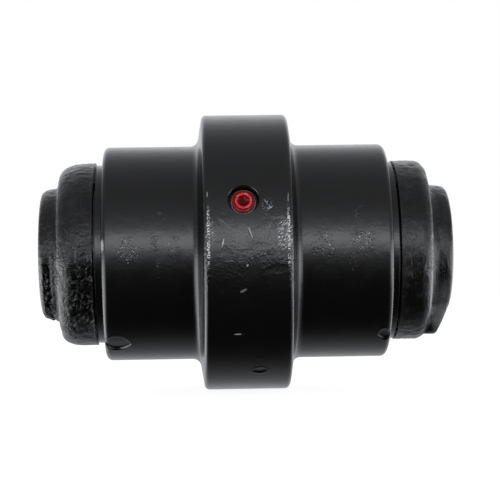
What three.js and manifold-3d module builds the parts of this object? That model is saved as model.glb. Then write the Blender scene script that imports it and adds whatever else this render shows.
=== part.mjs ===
// Track roller with a central flange, for the underside of a small crawler undercarriage.
// Millimetres, +Z up. The roller turns about the X axis; the origin is on that axis,
// midway between the two end faces. The shaft and its two collars stand still.

import * as THREE from "three";
import { mergeVertices } from "three/addons/utils/BufferGeometryUtils.js";
import Module from "manifold-3d";

const wasm = await Module();
wasm.setup();

// ---- Driving dimensions. Places along the axis are distances from the middle. ----

const END_FACE = 98.2; // the flat outer face of each collar
const SHAFT_RADIUS = 19;
const SHAFT_RECESS = 0.4; // each shaft end sits this far inside its collar's face
const BOLT_HOLE_RADIUS = 7; // tapped hole for the frame bolt, at its minor diameter
const BOLT_HOLE_DEPTH = 28;
const BOLT_HOLE_CHAMFER = 1.5;
const DRILL_POINT = 3; // the cone that the drill leaves at the bottom
const SHAFT_CHAMFER = 1;

const FLANGE_RADIUS = 66.6;
const FLANGE_HALF_WIDTH = 20.5; // at its rim
const FLANGE_ROOT_HALF_WIDTH = 22.2; // its sides lean, as they do on a forging
const FLANGE_LEAN = 10; // degrees
const FLANGE_CORNER = 2.3;
const TREAD_RADIUS = 51.7;
const TREAD_END = 67.5; // where the shell's end face is
const TREAD_CORNER = 2.7;
const ROOT_FILLET = 3.2; // between each tread and the flange
const LIP_RADIUS = 43.1; // the narrow ring that carries on from the shell's end face
const LIP_END = 71;

const SEAL_BORE_RADIUS = 34.6; // the pocket of a seal, in the shell and in the collar
const SEAL_BORE_FLOOR = 62; // the bottom of the shell's seal pocket
const FLANGE_POCKET_RADIUS = 29; // the step that the bushing's flange lies in
const FLANGE_POCKET_FLOOR = 58;
const BUSHING_BORE_RADIUS = 23.6;
const BUSHING_RADIUS = 23.3;
const BUSHING_FLANGE_RADIUS = 28.5;
const BUSHING_INSET = 2; // how far its inner end stands back from the oil chamber
const OIL_CHAMBER_HALF = 17;
const OIL_CHAMBER_RADIUS = 27;

const COLLAR_INNER = 71.9; // the collar's inner face, just clear of the shell's lip
const COLLAR_POCKET_FLOOR = 80.6; // the bottom of the collar's seal pocket
const NOSE_RADIUS = 23.4; // the sleeve of the collar that takes the end thrust
const NOSE_END = 62.3;
const BOSS_CORNER = 3;
// The two collars are rough castings that differ a little in outline.
const LEFT_COLLAR = { radius: 44.3, shoulder: 89.3, corner: 5.4, bossRoot: 33.3, bossEnd: 31.8 };
const RIGHT_COLLAR = { radius: 43.5, shoulder: 87.5, corner: 6, bossRoot: 32, bossEnd: 31.4 };

const LUG_HALF_WIDTH = 18; // the foot below the right boss that stops the shaft turning
const LUG_REACH = 41.4;
const LUG_CORNER = 6;
const LUG_SLOPE_START = 26.7; // where its end face starts to slant back
const LUG_SLOPE_DEGREES = 24;
const LUG_FACE_INSET = 0.5; // its face lies this far inside the end face

const LOCK_PIN_RADIUS = 3; // each pin goes through the back of a boss into the shaft
const LOCK_PIN_PLACE = 93;
const LOCK_PIN_OUTER = 30.6; // the head end of the pin, from the axis
const LOCK_PIN_INNER = 11.5;
const LOCK_PIN_CHAMFER = 0.8;
const PIN_CLEARANCE = 0.12;
const PIN_END_ROOM = 0.4; // between the pin's inner end and the bottom of its hole

const ORING_PLACE = 76.2;
const ORING_SECTION = 1.6; // half the thickness of the shaft's ring
const ORING_GROOVE_RADIUS = 21.6;
const ORING_SIDE_ROOM = 0.4; // on each side of the ring, along the groove
const ORING_ROOM = 0.1; // under and over the ring

const PLUG_TILT_DEGREES = 21; // above the horizontal, on the -Y side
const PLUG_OFFSET = -2; // along the axis, from the middle of the flange
const PLUG_POCKET_RADIUS = 7;
const PLUG_POCKET_DEPTH = 5.4;
const PLUG_HEAD_RADIUS = 5.2;
const PLUG_HEAD_HEIGHT = 2.9;
const PLUG_CROWN_WIDTH = 1; // the bevel around the head, across and down
const PLUG_CROWN_DROP = 0.8;
const PLUG_STEM_RADIUS = 4;
const PLUG_STEM_LENGTH = 9;
const PLUG_STEM_CHAMFER = 0.7;
const PLUG_END_ROOM = 2; // below the stem, where the threaded hole runs out
const PLUG_SOCKET_ACROSS_FLATS = 5;
const PLUG_SOCKET_DEPTH = 2.2;
const WASHER_RADIUS = 6.1;
const WASHER_THICKNESS = 1;
const OIL_DRILLING_RADIUS = 2.5;

const RUNNING_CLEARANCE = 0.05;
const FIXED_CLEARANCE = 0.1; // between pieces that are pressed or bolted together
const CUT_PAST = 5; // how far a cutting shape runs past the surface that it opens
const SHELL_SIDES = 56;
const COLLAR_SIDES = 48;
const SHAFT_SIDES = 40;
const SEAL_SIDES = 32;
const SMALL_SIDES = 20;
const SECTION_SIDES = 8;
const ARC_STEPS = 2;

// ---- Shapes ----

// A point of a profile: its place along the axis, and its distance from it.
function at(place, radius) {
  return new THREE.Vector2(place, radius);
}

// Points on an arc of a profile. Angles are in degrees from the +X direction towards the outside.
function arc(centre, radius, from, to, steps = ARC_STEPS) {
  const points = [];
  for (let step = 0; step <= steps; step += 1) {
    const angle = THREE.MathUtils.degToRad(from + ((to - from) * step) / steps);
    points.push(at(centre.x + radius * Math.cos(angle), centre.y + radius * Math.sin(angle)));
  }
  return points;
}

function mirrored(profile) {
  return profile.map((point) => at(-point.x, point.y)).reverse();
}

// A closed profile turned about the X axis, whichever way round its points run.
function turned(profile, sides) {
  const ordered = THREE.ShapeUtils.isClockWise(profile) ? profile : [...profile].reverse();
  const radiusThenPlace = [...ordered, ordered[0]].map((point) => at(point.y, point.x));
  const geometry = new THREE.LatheGeometry(radiusThenPlace, sides);
  return geometry.rotateZ(-Math.PI / 2);
}

// The corner radius of a many-sided hole whose flat sides clear a round pin.
function holeAround(radius, clearance, sides) {
  return (radius + clearance) / Math.cos(Math.PI / sides);
}

// A rod along the X axis from one place to another.
function rod(radius, from, to, sides) {
  const geometry = new THREE.CylinderGeometry(radius, radius, to - from, sides);
  return geometry.rotateZ(-Math.PI / 2).translate((from + to) / 2, 0, 0);
}

function solidOf(geometry) {
  const bare = geometry.index ? geometry.toNonIndexed() : geometry.clone();
  bare.deleteAttribute("normal");
  bare.deleteAttribute("uv");
  const joined = mergeVertices(bare, 1e-4);
  const vertProperties = joined.attributes.position.array;
  const triVerts = new Uint32Array(joined.index.array);
  return new wasm.Manifold(new wasm.Mesh({ numProp: 3, vertProperties, triVerts }));
}

function geometryOf(solid) {
  const mesh = solid.getMesh();
  const geometry = new THREE.BufferGeometry();
  geometry.setAttribute("position", new THREE.BufferAttribute(mesh.vertProperties, 3));
  geometry.setIndex(new THREE.BufferAttribute(mesh.triVerts, 1));
  return geometry;
}

// Stands a shape that was made along the X axis on the line where the plug lies.
function alongPlugLine(geometry) {
  const tilt = THREE.MathUtils.degToRad(PLUG_TILT_DEGREES);
  const outwards = new THREE.Vector3(0, -Math.cos(tilt), Math.sin(tilt));
  const turn = new THREE.Quaternion().setFromUnitVectors(new THREE.Vector3(1, 0, 0), outwards);
  return geometry.applyQuaternion(turn).translate(PLUG_OFFSET, 0, 0);
}

// Stands a shape that was made along the X axis on the line where a lock pin lies.
function alongPinLine(geometry, side) {
  return geometry.rotateZ(Math.PI / 2).translate(side * LOCK_PIN_PLACE, 0, 0);
}

// ---- The roller: what turns ----

function shellProfile() {
  const flangeCorner = at(FLANGE_HALF_WIDTH - FLANGE_CORNER, FLANGE_RADIUS - FLANGE_CORNER);
  const root = at(FLANGE_ROOT_HALF_WIDTH + ROOT_FILLET, TREAD_RADIUS + ROOT_FILLET);
  const treadCorner = at(TREAD_END - TREAD_CORNER, TREAD_RADIUS - TREAD_CORNER);
  const rightHalf = [
    ...arc(flangeCorner, FLANGE_CORNER, 90, FLANGE_LEAN),
    ...arc(root, ROOT_FILLET, 180 + FLANGE_LEAN, 270),
    ...arc(treadCorner, TREAD_CORNER, 90, 0),
    at(TREAD_END, LIP_RADIUS),
    at(LIP_END, LIP_RADIUS),
    at(LIP_END, SEAL_BORE_RADIUS),
    at(SEAL_BORE_FLOOR, SEAL_BORE_RADIUS),
    at(SEAL_BORE_FLOOR, FLANGE_POCKET_RADIUS),
    at(FLANGE_POCKET_FLOOR, FLANGE_POCKET_RADIUS),
    at(FLANGE_POCKET_FLOOR, BUSHING_BORE_RADIUS),
    at(OIL_CHAMBER_HALF, BUSHING_BORE_RADIUS),
    at(OIL_CHAMBER_HALF, OIL_CHAMBER_RADIUS),
  ];
  return [...rightHalf, ...mirrored(rightHalf)];
}

function shell() {
  const pocketFloor = FLANGE_RADIUS - PLUG_POCKET_DEPTH;
  const stemHoleEnd = pocketFloor - PLUG_STEM_LENGTH - PLUG_END_ROOM;
  const pocket = rod(PLUG_POCKET_RADIUS, pocketFloor, FLANGE_RADIUS + CUT_PAST, SMALL_SIDES);
  const stemHoleRadius = holeAround(PLUG_STEM_RADIUS, FIXED_CLEARANCE, SMALL_SIDES);
  const stemHole = rod(stemHoleRadius, stemHoleEnd, pocketFloor + 1, SMALL_SIDES);
  const drillingStart = OIL_CHAMBER_RADIUS - CUT_PAST;
  const drilling = rod(OIL_DRILLING_RADIUS, drillingStart, stemHoleEnd + 1, SMALL_SIDES);
  const holes = [pocket, stemHole, drilling].map((hole) => solidOf(alongPlugLine(hole)));
  const body = solidOf(turned(shellProfile(), SHELL_SIDES));
  return geometryOf(holes.reduce((left, hole) => left.subtract(hole), body));
}

function bushing(side) {
  const bore = holeAround(SHAFT_RADIUS, RUNNING_CLEARANCE, SHAFT_SIDES);
  const start = OIL_CHAMBER_HALF + BUSHING_INSET;
  const flangeBack = FLANGE_POCKET_FLOOR + FIXED_CLEARANCE;
  const thrustFace = SEAL_BORE_FLOOR - FIXED_CLEARANCE;
  const profile = [
    at(start, bore),
    at(start, BUSHING_RADIUS),
    at(flangeBack, BUSHING_RADIUS),
    at(flangeBack, BUSHING_FLANGE_RADIUS),
    at(thrustFace, BUSHING_FLANGE_RADIUS),
    at(thrustFace, bore),
  ];
  return turned(side < 0 ? mirrored(profile) : profile, SHAFT_SIDES);
}

// A socket-head screw plug. It lies along its own line, head outwards.
function oilPlug() {
  const under = FLANGE_RADIUS - PLUG_POCKET_DEPTH + WASHER_THICKNESS + FIXED_CLEARANCE;
  const top = under + PLUG_HEAD_HEIGHT;
  const stemEnd = under - PLUG_STEM_LENGTH;
  const profile = [
    at(stemEnd, 0),
    at(stemEnd, PLUG_STEM_RADIUS - PLUG_STEM_CHAMFER),
    at(stemEnd + PLUG_STEM_CHAMFER, PLUG_STEM_RADIUS),
    at(under, PLUG_STEM_RADIUS),
    at(under, PLUG_HEAD_RADIUS),
    at(top - PLUG_CROWN_DROP, PLUG_HEAD_RADIUS),
    at(top, PLUG_HEAD_RADIUS - PLUG_CROWN_WIDTH),
    at(top, 0),
  ];
  const socketRadius = PLUG_SOCKET_ACROSS_FLATS / 2 / Math.cos(Math.PI / 6);
  const socket = rod(socketRadius, top - PLUG_SOCKET_DEPTH, top + 1, 6);
  const body = solidOf(turned(profile, SMALL_SIDES));
  return alongPlugLine(geometryOf(body.subtract(solidOf(socket))));
}

function plugWasher() {
  const floor = FLANGE_RADIUS - PLUG_POCKET_DEPTH + FIXED_CLEARANCE / 2;
  const bore = holeAround(PLUG_STEM_RADIUS, FIXED_CLEARANCE, SMALL_SIDES);
  const profile = [
    at(floor, bore),
    at(floor, WASHER_RADIUS),
    at(floor + WASHER_THICKNESS, WASHER_RADIUS),
    at(floor + WASHER_THICKNESS, bore),
  ];
  return alongPlugLine(turned(profile, SMALL_SIDES));
}

// ---- The seals: a pair of lapped metal rings on each side, each pushed by a rubber ring ----

const SEAL_FACE = (LIP_END + COLLAR_INNER) / 2; // where the two lapped faces meet
const SEAL_FACE_GAP = 0.12;
const SEAL_RING_BORE = 25.2;
const SEAL_RING_RADIUS = 33.2;
const SEAL_RING_NECK = 28.2; // the cone behind the face, where the rubber ring sits
const SEAL_NECK_ROOT = 28.8; // the cone's thick end
const SEAL_RIM_WIDTH = 1.4; // the full-radius rim, and the slope behind it
const SEAL_RIM_SLOPE = 1;
const SEAL_RING_LENGTH = 7;
const TORIC_SECTION = 2.7;
const TORIC_BACK = 1; // how far the rubber ring stands out past the metal ring's back

// direction is the way from the lapped face to the back of the ring, along the axis.
function sealRing(side, direction) {
  const face = SEAL_FACE + (direction * SEAL_FACE_GAP) / 2;
  const profile = [
    at(face, SEAL_RING_BORE),
    at(face, SEAL_RING_RADIUS),
    at(face + direction * SEAL_RIM_WIDTH, SEAL_RING_RADIUS),
    at(face + direction * (SEAL_RIM_WIDTH + SEAL_RIM_SLOPE), SEAL_NECK_ROOT),
    at(face + direction * SEAL_RING_LENGTH, SEAL_RING_NECK),
    at(face + direction * SEAL_RING_LENGTH, SEAL_RING_BORE),
  ];
  return turned(side < 0 ? mirrored(profile) : profile, SEAL_SIDES);
}

function toricRing(side, direction) {
  const place = SEAL_FACE + direction * (SEAL_RING_LENGTH + TORIC_BACK - TORIC_SECTION);
  const middle = (SEAL_NECK_ROOT + SEAL_BORE_RADIUS) / 2;
  const circle = arc(at(side * place, middle), TORIC_SECTION, 0, 360, SECTION_SIDES);
  return turned(circle.slice(0, SECTION_SIDES), SEAL_SIDES);
}

// ---- The axle: what stands still ----

function shaft() {
  const end = END_FACE - SHAFT_RECESS;
  const mouth = BOLT_HOLE_RADIUS + BOLT_HOLE_CHAMFER;
  const rightHalf = [
    at(end - SHAFT_CHAMFER, SHAFT_RADIUS),
    at(end, SHAFT_RADIUS - SHAFT_CHAMFER),
    at(end, mouth),
    at(end - BOLT_HOLE_CHAMFER, BOLT_HOLE_RADIUS),
    at(end - BOLT_HOLE_DEPTH, BOLT_HOLE_RADIUS),
    at(end - BOLT_HOLE_DEPTH - DRILL_POINT, 0),
  ];
  let body = solidOf(turned([...rightHalf, ...mirrored(rightHalf)], SHAFT_SIDES));
  for (const side of [-1, 1]) {
    body = body.subtract(solidOf(lockPinHole(side)));
  }
  return geometryOf(body);
}

// The blind hole of a lock pin, through the collar's back and into the shaft.
function lockPinHole(side) {
  const radius = holeAround(LOCK_PIN_RADIUS, PIN_CLEARANCE, SMALL_SIDES);
  const bottom = LOCK_PIN_INNER - PIN_END_ROOM;
  return alongPinLine(rod(radius, bottom, LOCK_PIN_OUTER + CUT_PAST, SMALL_SIDES), side);
}

function lockPin(side) {
  const tip = LOCK_PIN_RADIUS - LOCK_PIN_CHAMFER;
  const profile = [
    at(LOCK_PIN_INNER, 0),
    at(LOCK_PIN_INNER, tip),
    at(LOCK_PIN_INNER + LOCK_PIN_CHAMFER, LOCK_PIN_RADIUS),
    at(LOCK_PIN_OUTER - LOCK_PIN_CHAMFER, LOCK_PIN_RADIUS),
    at(LOCK_PIN_OUTER, tip),
    at(LOCK_PIN_OUTER, 0),
  ];
  return alongPinLine(turned(profile, SMALL_SIDES), side);
}

function collarProfile(collar) {
  const bore = holeAround(SHAFT_RADIUS, FIXED_CLEARANCE, COLLAR_SIDES);
  const grooveHalf = ORING_SECTION + ORING_SIDE_ROOM;
  const shoulderCorner = at(collar.shoulder - collar.corner, collar.radius - collar.corner);
  const bossCorner = at(END_FACE - BOSS_CORNER, collar.bossEnd - BOSS_CORNER);
  return [
    at(NOSE_END, bore),
    at(NOSE_END, NOSE_RADIUS),
    at(COLLAR_POCKET_FLOOR, NOSE_RADIUS),
    at(COLLAR_POCKET_FLOOR, SEAL_BORE_RADIUS),
    at(COLLAR_INNER, SEAL_BORE_RADIUS),
    at(COLLAR_INNER, collar.radius),
    ...arc(shoulderCorner, collar.corner, 90, 0, 3),
    at(collar.shoulder, collar.bossRoot),
    ...arc(bossCorner, BOSS_CORNER, 90, 0),
    at(END_FACE, bore),
    at(ORING_PLACE + grooveHalf, bore),
    at(ORING_PLACE + grooveHalf, ORING_GROOVE_RADIUS),
    at(ORING_PLACE - grooveHalf, ORING_GROOVE_RADIUS),
    at(ORING_PLACE - grooveHalf, bore),
  ];
}

// The foot of the right collar: flat on both sides, with a slanted end face.
function lug(collar) {
  const cornerY = LUG_HALF_WIDTH - LUG_CORNER;
  const cornerZ = LUG_CORNER - LUG_REACH;
  const outline = new THREE.Shape();
  outline.moveTo(-LUG_HALF_WIDTH, 0);
  outline.lineTo(-LUG_HALF_WIDTH, cornerZ);
  outline.absarc(-cornerY, cornerZ, LUG_CORNER, Math.PI, Math.PI * 1.5, false);
  outline.lineTo(cornerY, -LUG_REACH);
  outline.absarc(cornerY, cornerZ, LUG_CORNER, Math.PI * 1.5, 0, false);
  outline.lineTo(LUG_HALF_WIDTH, 0);
  const face = END_FACE - LUG_FACE_INSET;
  const from = collar.shoulder - collar.corner;
  const depth = face - from;
  const slab = new THREE.ExtrudeGeometry(outline, { depth, bevelEnabled: false, curveSegments: 3 });
  // The outline's plane is turned so that its width lies along Y and its depth along X.
  slab.rotateX(Math.PI / 2).rotateZ(Math.PI / 2).translate(from, 0, 0);
  const cutter = new THREE.BoxGeometry(END_FACE, 2 * END_FACE, 2 * END_FACE);
  cutter.translate(END_FACE / 2, 0, 0).rotateY(THREE.MathUtils.degToRad(LUG_SLOPE_DEGREES));
  cutter.translate(face, 0, -LUG_SLOPE_START);
  const ringBore = rod(SHAFT_RADIUS + CUT_PAST, 0, END_FACE + CUT_PAST, SMALL_SIDES);
  return solidOf(slab).subtract(solidOf(cutter)).subtract(solidOf(ringBore));
}

function collar(side) {
  const size = side < 0 ? LEFT_COLLAR : RIGHT_COLLAR;
  const profile = collarProfile(size);
  let body = solidOf(turned(side < 0 ? mirrored(profile) : profile, COLLAR_SIDES));
  if (side > 0) {
    body = body.add(lug(size));
  }
  return geometryOf(body.subtract(solidOf(lockPinHole(side))));
}

function shaftRing(side) {
  const middle = (SHAFT_RADIUS + ORING_GROOVE_RADIUS) / 2 + ORING_ROOM;
  const half = (ORING_GROOVE_RADIUS - SHAFT_RADIUS) / 2 - 2 * ORING_ROOM;
  const profile = arc(at(0, 0), 1, 0, 360, SECTION_SIDES)
    .slice(0, SECTION_SIDES)
    .map((point) => at(side * ORING_PLACE + point.x * ORING_SECTION, middle + point.y * half));
  return turned(profile, SHAFT_SIDES);
}

// ---- Materials ----

function finish(color, roughness, metalness) {
  return new THREE.MeshStandardMaterial({ color, roughness, metalness, flatShading: true });
}

const BLACK_PAINT = finish(0x1b1c1e, 0.42, 0.1);
const ROUGH_BLACK_PAINT = finish(0x202123, 0.55, 0.1);
const RED_PLUG = finish(0xb01c22, 0.3, 0);
const ALUMINIUM = finish(0x9b9c9e, 0.4, 0.9);
const GROUND_STEEL = finish(0x8d9094, 0.3, 1);
const BRONZE = finish(0x9c7440, 0.35, 1);
const SEAL_IRON = finish(0x6c6f73, 0.3, 1);
const RUBBER = finish(0x1a1a1a, 0.8, 0);

// ---- Assembly ----

function piece(name, geometry, material) {
  const mesh = new THREE.Mesh(geometry, material);
  mesh.name = name;
  return mesh;
}

const INWARDS = -1;
const OUTWARDS = 1;
const roller = new THREE.Group();
roller.add(piece("shell", shell(), BLACK_PAINT));
roller.add(piece("oil_plug", oilPlug(), RED_PLUG));
roller.add(piece("plug_washer", plugWasher(), ALUMINIUM));

const axle = new THREE.Group();
axle.add(piece("shaft", shaft(), GROUND_STEEL));

for (const [sideName, side] of [["left", -1], ["right", 1]]) {
  roller.add(piece(`${sideName}_bushing`, bushing(side), BRONZE));
  roller.add(piece(`${sideName}_turning_seal_ring`, sealRing(side, INWARDS), SEAL_IRON));
  roller.add(piece(`${sideName}_turning_toric_ring`, toricRing(side, INWARDS), RUBBER));
  axle.add(piece(`${sideName}_collar`, collar(side), ROUGH_BLACK_PAINT));
  axle.add(piece(`${sideName}_fixed_seal_ring`, sealRing(side, OUTWARDS), SEAL_IRON));
  axle.add(piece(`${sideName}_fixed_toric_ring`, toricRing(side, OUTWARDS), RUBBER));
  axle.add(piece(`${sideName}_shaft_o_ring`, shaftRing(side), RUBBER));
  axle.add(piece(`${sideName}_lock_pin`, lockPin(side), GROUND_STEEL));
}

const trackRoller = new THREE.Group();
trackRoller.add(roller, axle);

export default trackRoller;
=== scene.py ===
# %% [markdown]
# # A track roller, rebuilt piece by piece
#
# A track roller carries a small crawler machine on the link rails of its track. A steel shell with
# two smooth treads and one wide flange turns on a fixed shaft, and a rough cast collar holds each end.
# The design, the sizes and the way it moves come from a packed CAD frame. This script loads that
# frame, remakes every piece as a fine mesh in the same place, and gives each one its finish.

# %% Load the frame
import math

import bmesh
import bpy
import numpy as np
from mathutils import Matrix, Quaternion, Vector, noise


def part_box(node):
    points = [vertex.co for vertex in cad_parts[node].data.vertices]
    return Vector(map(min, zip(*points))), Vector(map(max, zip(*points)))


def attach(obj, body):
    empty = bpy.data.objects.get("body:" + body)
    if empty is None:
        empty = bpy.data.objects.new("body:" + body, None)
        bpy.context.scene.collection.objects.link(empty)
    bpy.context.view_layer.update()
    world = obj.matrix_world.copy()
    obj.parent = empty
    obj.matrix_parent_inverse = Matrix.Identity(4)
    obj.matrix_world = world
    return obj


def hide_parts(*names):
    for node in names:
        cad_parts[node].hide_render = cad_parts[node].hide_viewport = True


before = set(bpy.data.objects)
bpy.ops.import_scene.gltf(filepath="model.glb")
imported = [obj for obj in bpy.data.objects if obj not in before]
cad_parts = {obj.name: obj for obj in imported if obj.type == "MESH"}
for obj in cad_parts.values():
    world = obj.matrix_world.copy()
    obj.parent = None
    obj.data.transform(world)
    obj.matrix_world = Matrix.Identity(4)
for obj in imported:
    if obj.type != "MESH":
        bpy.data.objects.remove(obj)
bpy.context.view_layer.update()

# %% [markdown]
# ## Sizes
#
# A turned part is described by places along its axis and radii from it. Those that the frame's boxes
# can give are read from them, so that the looks follow the design if it changes. The others are the
# design's own dimensions, in millimetres. Blender works in metres, and MM turns one into the other.

# %% Sizes that the frame gives
MM = 0.001


def reach(node):
    """The lowest and the highest corner of a CAD node, in millimetres."""
    low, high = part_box(node)
    return low / MM, high / MM


FLANGE_RADIUS = reach("shell")[1].z
LIP_END = reach("shell")[1].x
END_FACE = reach("right_collar")[1].x
NOSE_END = reach("right_collar")[0].x
SHAFT_RADIUS = reach("shaft")[1].z
SHAFT_END = reach("shaft")[1].x
COLLAR_RADIUS = {-1: reach("left_collar")[1].z, 1: reach("right_collar")[1].z}
SIDES = {"left": -1, "right": 1}
print(f"flange {2 * FLANGE_RADIUS:.1f} mm across, {2 * END_FACE:.1f} mm over the ends")

# %% Sizes of the shell and the collars
FLANGE_HALF_WIDTH = 20.5
# The flange's sides lean, so its outline's corner at the root is further out than the one at the rim.
FLANGE_RIM = 20.2
FLANGE_ROOT = 22.6
TREAD_RADIUS = 51.7
TREAD_END = 67.5
LIP_RADIUS = 43.1
SEAL_BORE_RADIUS = 34.6
SEAL_BORE_FLOOR = 62
THRUST_POCKET_RADIUS = 29
THRUST_POCKET_FLOOR = 58
BUSHING_BORE_RADIUS = 23.6
OIL_CHAMBER_RADIUS = 27
OIL_CHAMBER_HALF = 17
COLLAR_INNER = 71.9
COLLAR_POCKET_FLOOR = 80.6
NOSE_RADIUS = 23.4
COLLAR_BORE_RADIUS = SHAFT_RADIUS + 0.12
SHOULDER = {-1: 89.3, 1: 87.5}
# How far the rounded corner of the rim runs along the axis and how far towards it, and how much
# longer it is at the top.
SHOULDER_CORNER = {-1: (11.5, 6.6, 2.5), 1: (6, 6, 0)}
BOSS_ROOT_RADIUS = {-1: 33.3, 1: 32}
BOSS_END_RADIUS = {-1: 31.8, 1: 31.4}
# The oil plug's line starts on the axis, 2 mm left of the middle, and rises towards the front.
PLUG_TILT = math.radians(21)
PLUG_DIRECTION = Vector((0, -math.cos(PLUG_TILT), math.sin(PLUG_TILT)))
PLUG_PLACE = Vector((-2 * MM, 0, 0))
print(f"treads {2 * TREAD_RADIUS:.1f} mm across, lips {2 * LIP_RADIUS:.1f} mm")

# %% [markdown]
# ## From an outline to a turned mesh
#
# Nearly every piece of a roller comes off a lathe, so its shape is one outline turned about an axis.
# Blender's Screw modifier could do that. Here the turning is done by hand in numpy instead, because
# the outline may then change from one angle to the next, as it does where a foot grows out of a
# round boss, and because the surface can be roughened before it becomes a mesh.
#
# Corners are given as (place, radius, rounding), and where the run after one needs finer steps, that
# step comes fourth. A real edge is never sharp, and even a rounding of 0.3 mm catches a line of light
# that a sharp edge never shows.

# %% Outlines
ARC_STEPS = 6


def corner_arc(corner, before, after, rounding):
    """Points round one corner of an outline, from the side of one neighbour to the other's."""
    here = np.array(corner, float)
    if rounding == 0:
        return [here]
    back = np.subtract(before, here)
    ahead = np.subtract(after, here)
    back /= np.linalg.norm(back)
    ahead /= np.linalg.norm(ahead)
    half_angle = math.acos(float(np.clip(back @ ahead, -1, 1))) / 2
    middle = (back + ahead) / np.linalg.norm(back + ahead)
    centre = here + middle * rounding / math.sin(half_angle)
    first = here + back * rounding / math.tan(half_angle) - centre
    last = here + ahead * rounding / math.tan(half_angle) - centre
    sweep = math.pi - 2 * half_angle
    steps = [sweep * step / ARC_STEPS for step in range(ARC_STEPS + 1)]
    return [centre + (math.sin(sweep - a) * first + math.sin(a) * last) / math.sin(sweep) for a in steps]


def trace(corners, longest=None, closed=True):
    """An outline's points: an arc at each rounded corner, and straight runs cut to a longest step."""
    count = len(corners)
    arcs = []
    for index, (place, radius, rounding, *_) in enumerate(corners):
        before = corners[index - 1][:2]
        after = corners[(index + 1) % count][:2]
        arcs.append(corner_arc((place, radius), before, after, rounding))
    points = []
    for index, arc in enumerate(arcs):
        points += arc
        if index + 1 < count or closed:
            following = arcs[(index + 1) % count][0]
            run = following - arc[-1]
            step = corners[index][3] if len(corners[index]) > 3 else longest
            cuts = math.ceil(np.linalg.norm(run) / step) if step else 1
            points += [arc[-1] + run * cut / cuts for cut in range(1, cuts)]
    return np.array(points)


def mirrored(corners):
    """The same corners on the other side of the middle, in the order that carries the outline on."""
    steps = [corner[3:] for corner in corners]
    turned_over = [(-place, radius, rounding) for place, radius, rounding, *_ in corners]
    # A step belongs to the run after its corner, which is the run before it from the other side.
    moved = [*steps[-1:], *steps[:-1]] if any(steps) else steps
    return [corner + tuple(step) for corner, step in zip(turned_over, moved)][::-1]


print("a rounded corner has", len(corner_arc((1, 1), (0, 1), (1, 0), 0.3)), "points")

# %% [markdown]
# ### Turning the outline
#
# Points in space are counted round the axis from the front, so 0 degrees faces the viewer and 90 is
# the top. The same grid of points gives the faces: each one joins two neighbours of one outline to the
# same two of the next.

# %% Turning
FRONT = Vector((0, -1, 0))
UP = Vector((0, 0, 1))


def turn(outlines):
    """Points in space for one outline at each angle, given as an array (turns, points, 2)."""
    angles = np.arange(len(outlines)) * 2 * math.pi / len(outlines)
    place, radius = outlines[..., 0], outlines[..., 1]
    across = -radius * np.cos(angles)[:, None]
    height = radius * np.sin(angles)[:, None]
    return np.stack([place, across, height], axis=-1)


def skin(points, closed=True):
    """The faces of a grid of points that closes on itself all the way round."""
    turns, count = points.shape[:2]
    first = np.arange(turns)[:, None] * count
    second = np.roll(first, -1, axis=0)
    along = np.arange(count if closed else count - 1)[None, :]
    ahead = (along + 1) % count
    quads = [first + along, first + ahead, second + ahead, second + along]
    return np.stack(quads, axis=-1).reshape(-1, 4)


def mesh_of(name, points, closed=True):
    """A mesh from a turned grid of points in millimetres. What meets on the axis is joined there."""
    mesh = bpy.data.meshes.new(name)
    mesh.from_pydata((points.reshape(-1, 3) * MM).tolist(), [], skin(points, closed).tolist())
    shape = bmesh.new()
    shape.from_mesh(mesh)
    bmesh.ops.remove_doubles(shape, verts=shape.verts, dist=1e-7)
    bmesh.ops.recalc_face_normals(shape, faces=shape.faces)
    shape.to_mesh(mesh)
    shape.free()
    return mesh


def turned(name, corners, turns, longest=None, closed=True):
    """A piece with the same outline all the way round."""
    outline = trace(corners, longest, closed)
    points = turn(np.broadcast_to(outline, (turns, *outline.shape)))
    return mesh_of(name, points, closed)


print("a quarter turn from the front lies at", turn(np.ones((4, 1, 2)))[1, 0].round(3).tolist())

# %% [markdown]
# ### Holes, edges and a place in the scene
#
# A hole is cut with a Boolean modifier whose result is taken as a new mesh. Smooth shading alone would
# smear the light over every corner, so an edge between two faces at a clear angle is kept sharp. Then
# a piece is told which body it moves with and which CAD node it stands for.

# %% Cutting holes and keeping edges
SHARP_ANGLE = math.radians(32)


def cut(mesh, cutters):
    """Takes the cutters' space out of a mesh. All of them are closed, so the quick solver holds."""
    body = bpy.data.objects.new("cutting", mesh)
    bpy.context.scene.collection.objects.link(body)
    tools = [bpy.data.objects.new("cutter", cutter) for cutter in cutters]
    for tool in tools:
        bpy.context.scene.collection.objects.link(tool)
        modifier = body.modifiers.new("cut", "BOOLEAN")
        modifier.object = tool
        modifier.solver = "MANIFOLD"
    evaluated = body.evaluated_get(bpy.context.evaluated_depsgraph_get())
    result = bpy.data.meshes.new_from_object(evaluated)
    for temporary in [body, *tools]:
        bpy.data.objects.remove(temporary)
    return result


def edit(mesh, change):
    """Lets a function change a mesh through bmesh."""
    shape = bmesh.new()
    shape.from_mesh(mesh)
    change(shape)
    shape.to_mesh(mesh)
    shape.free()


def smooth(shape):
    """Smooth faces, with an edge kept sharp where two faces meet at a clear angle."""
    for face in shape.faces:
        face.smooth = True
    for edge in shape.edges:
        edge.smooth = len(edge.link_faces) == 2 and edge.calc_face_angle() < SHARP_ANGLE


pieces = {}


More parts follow.
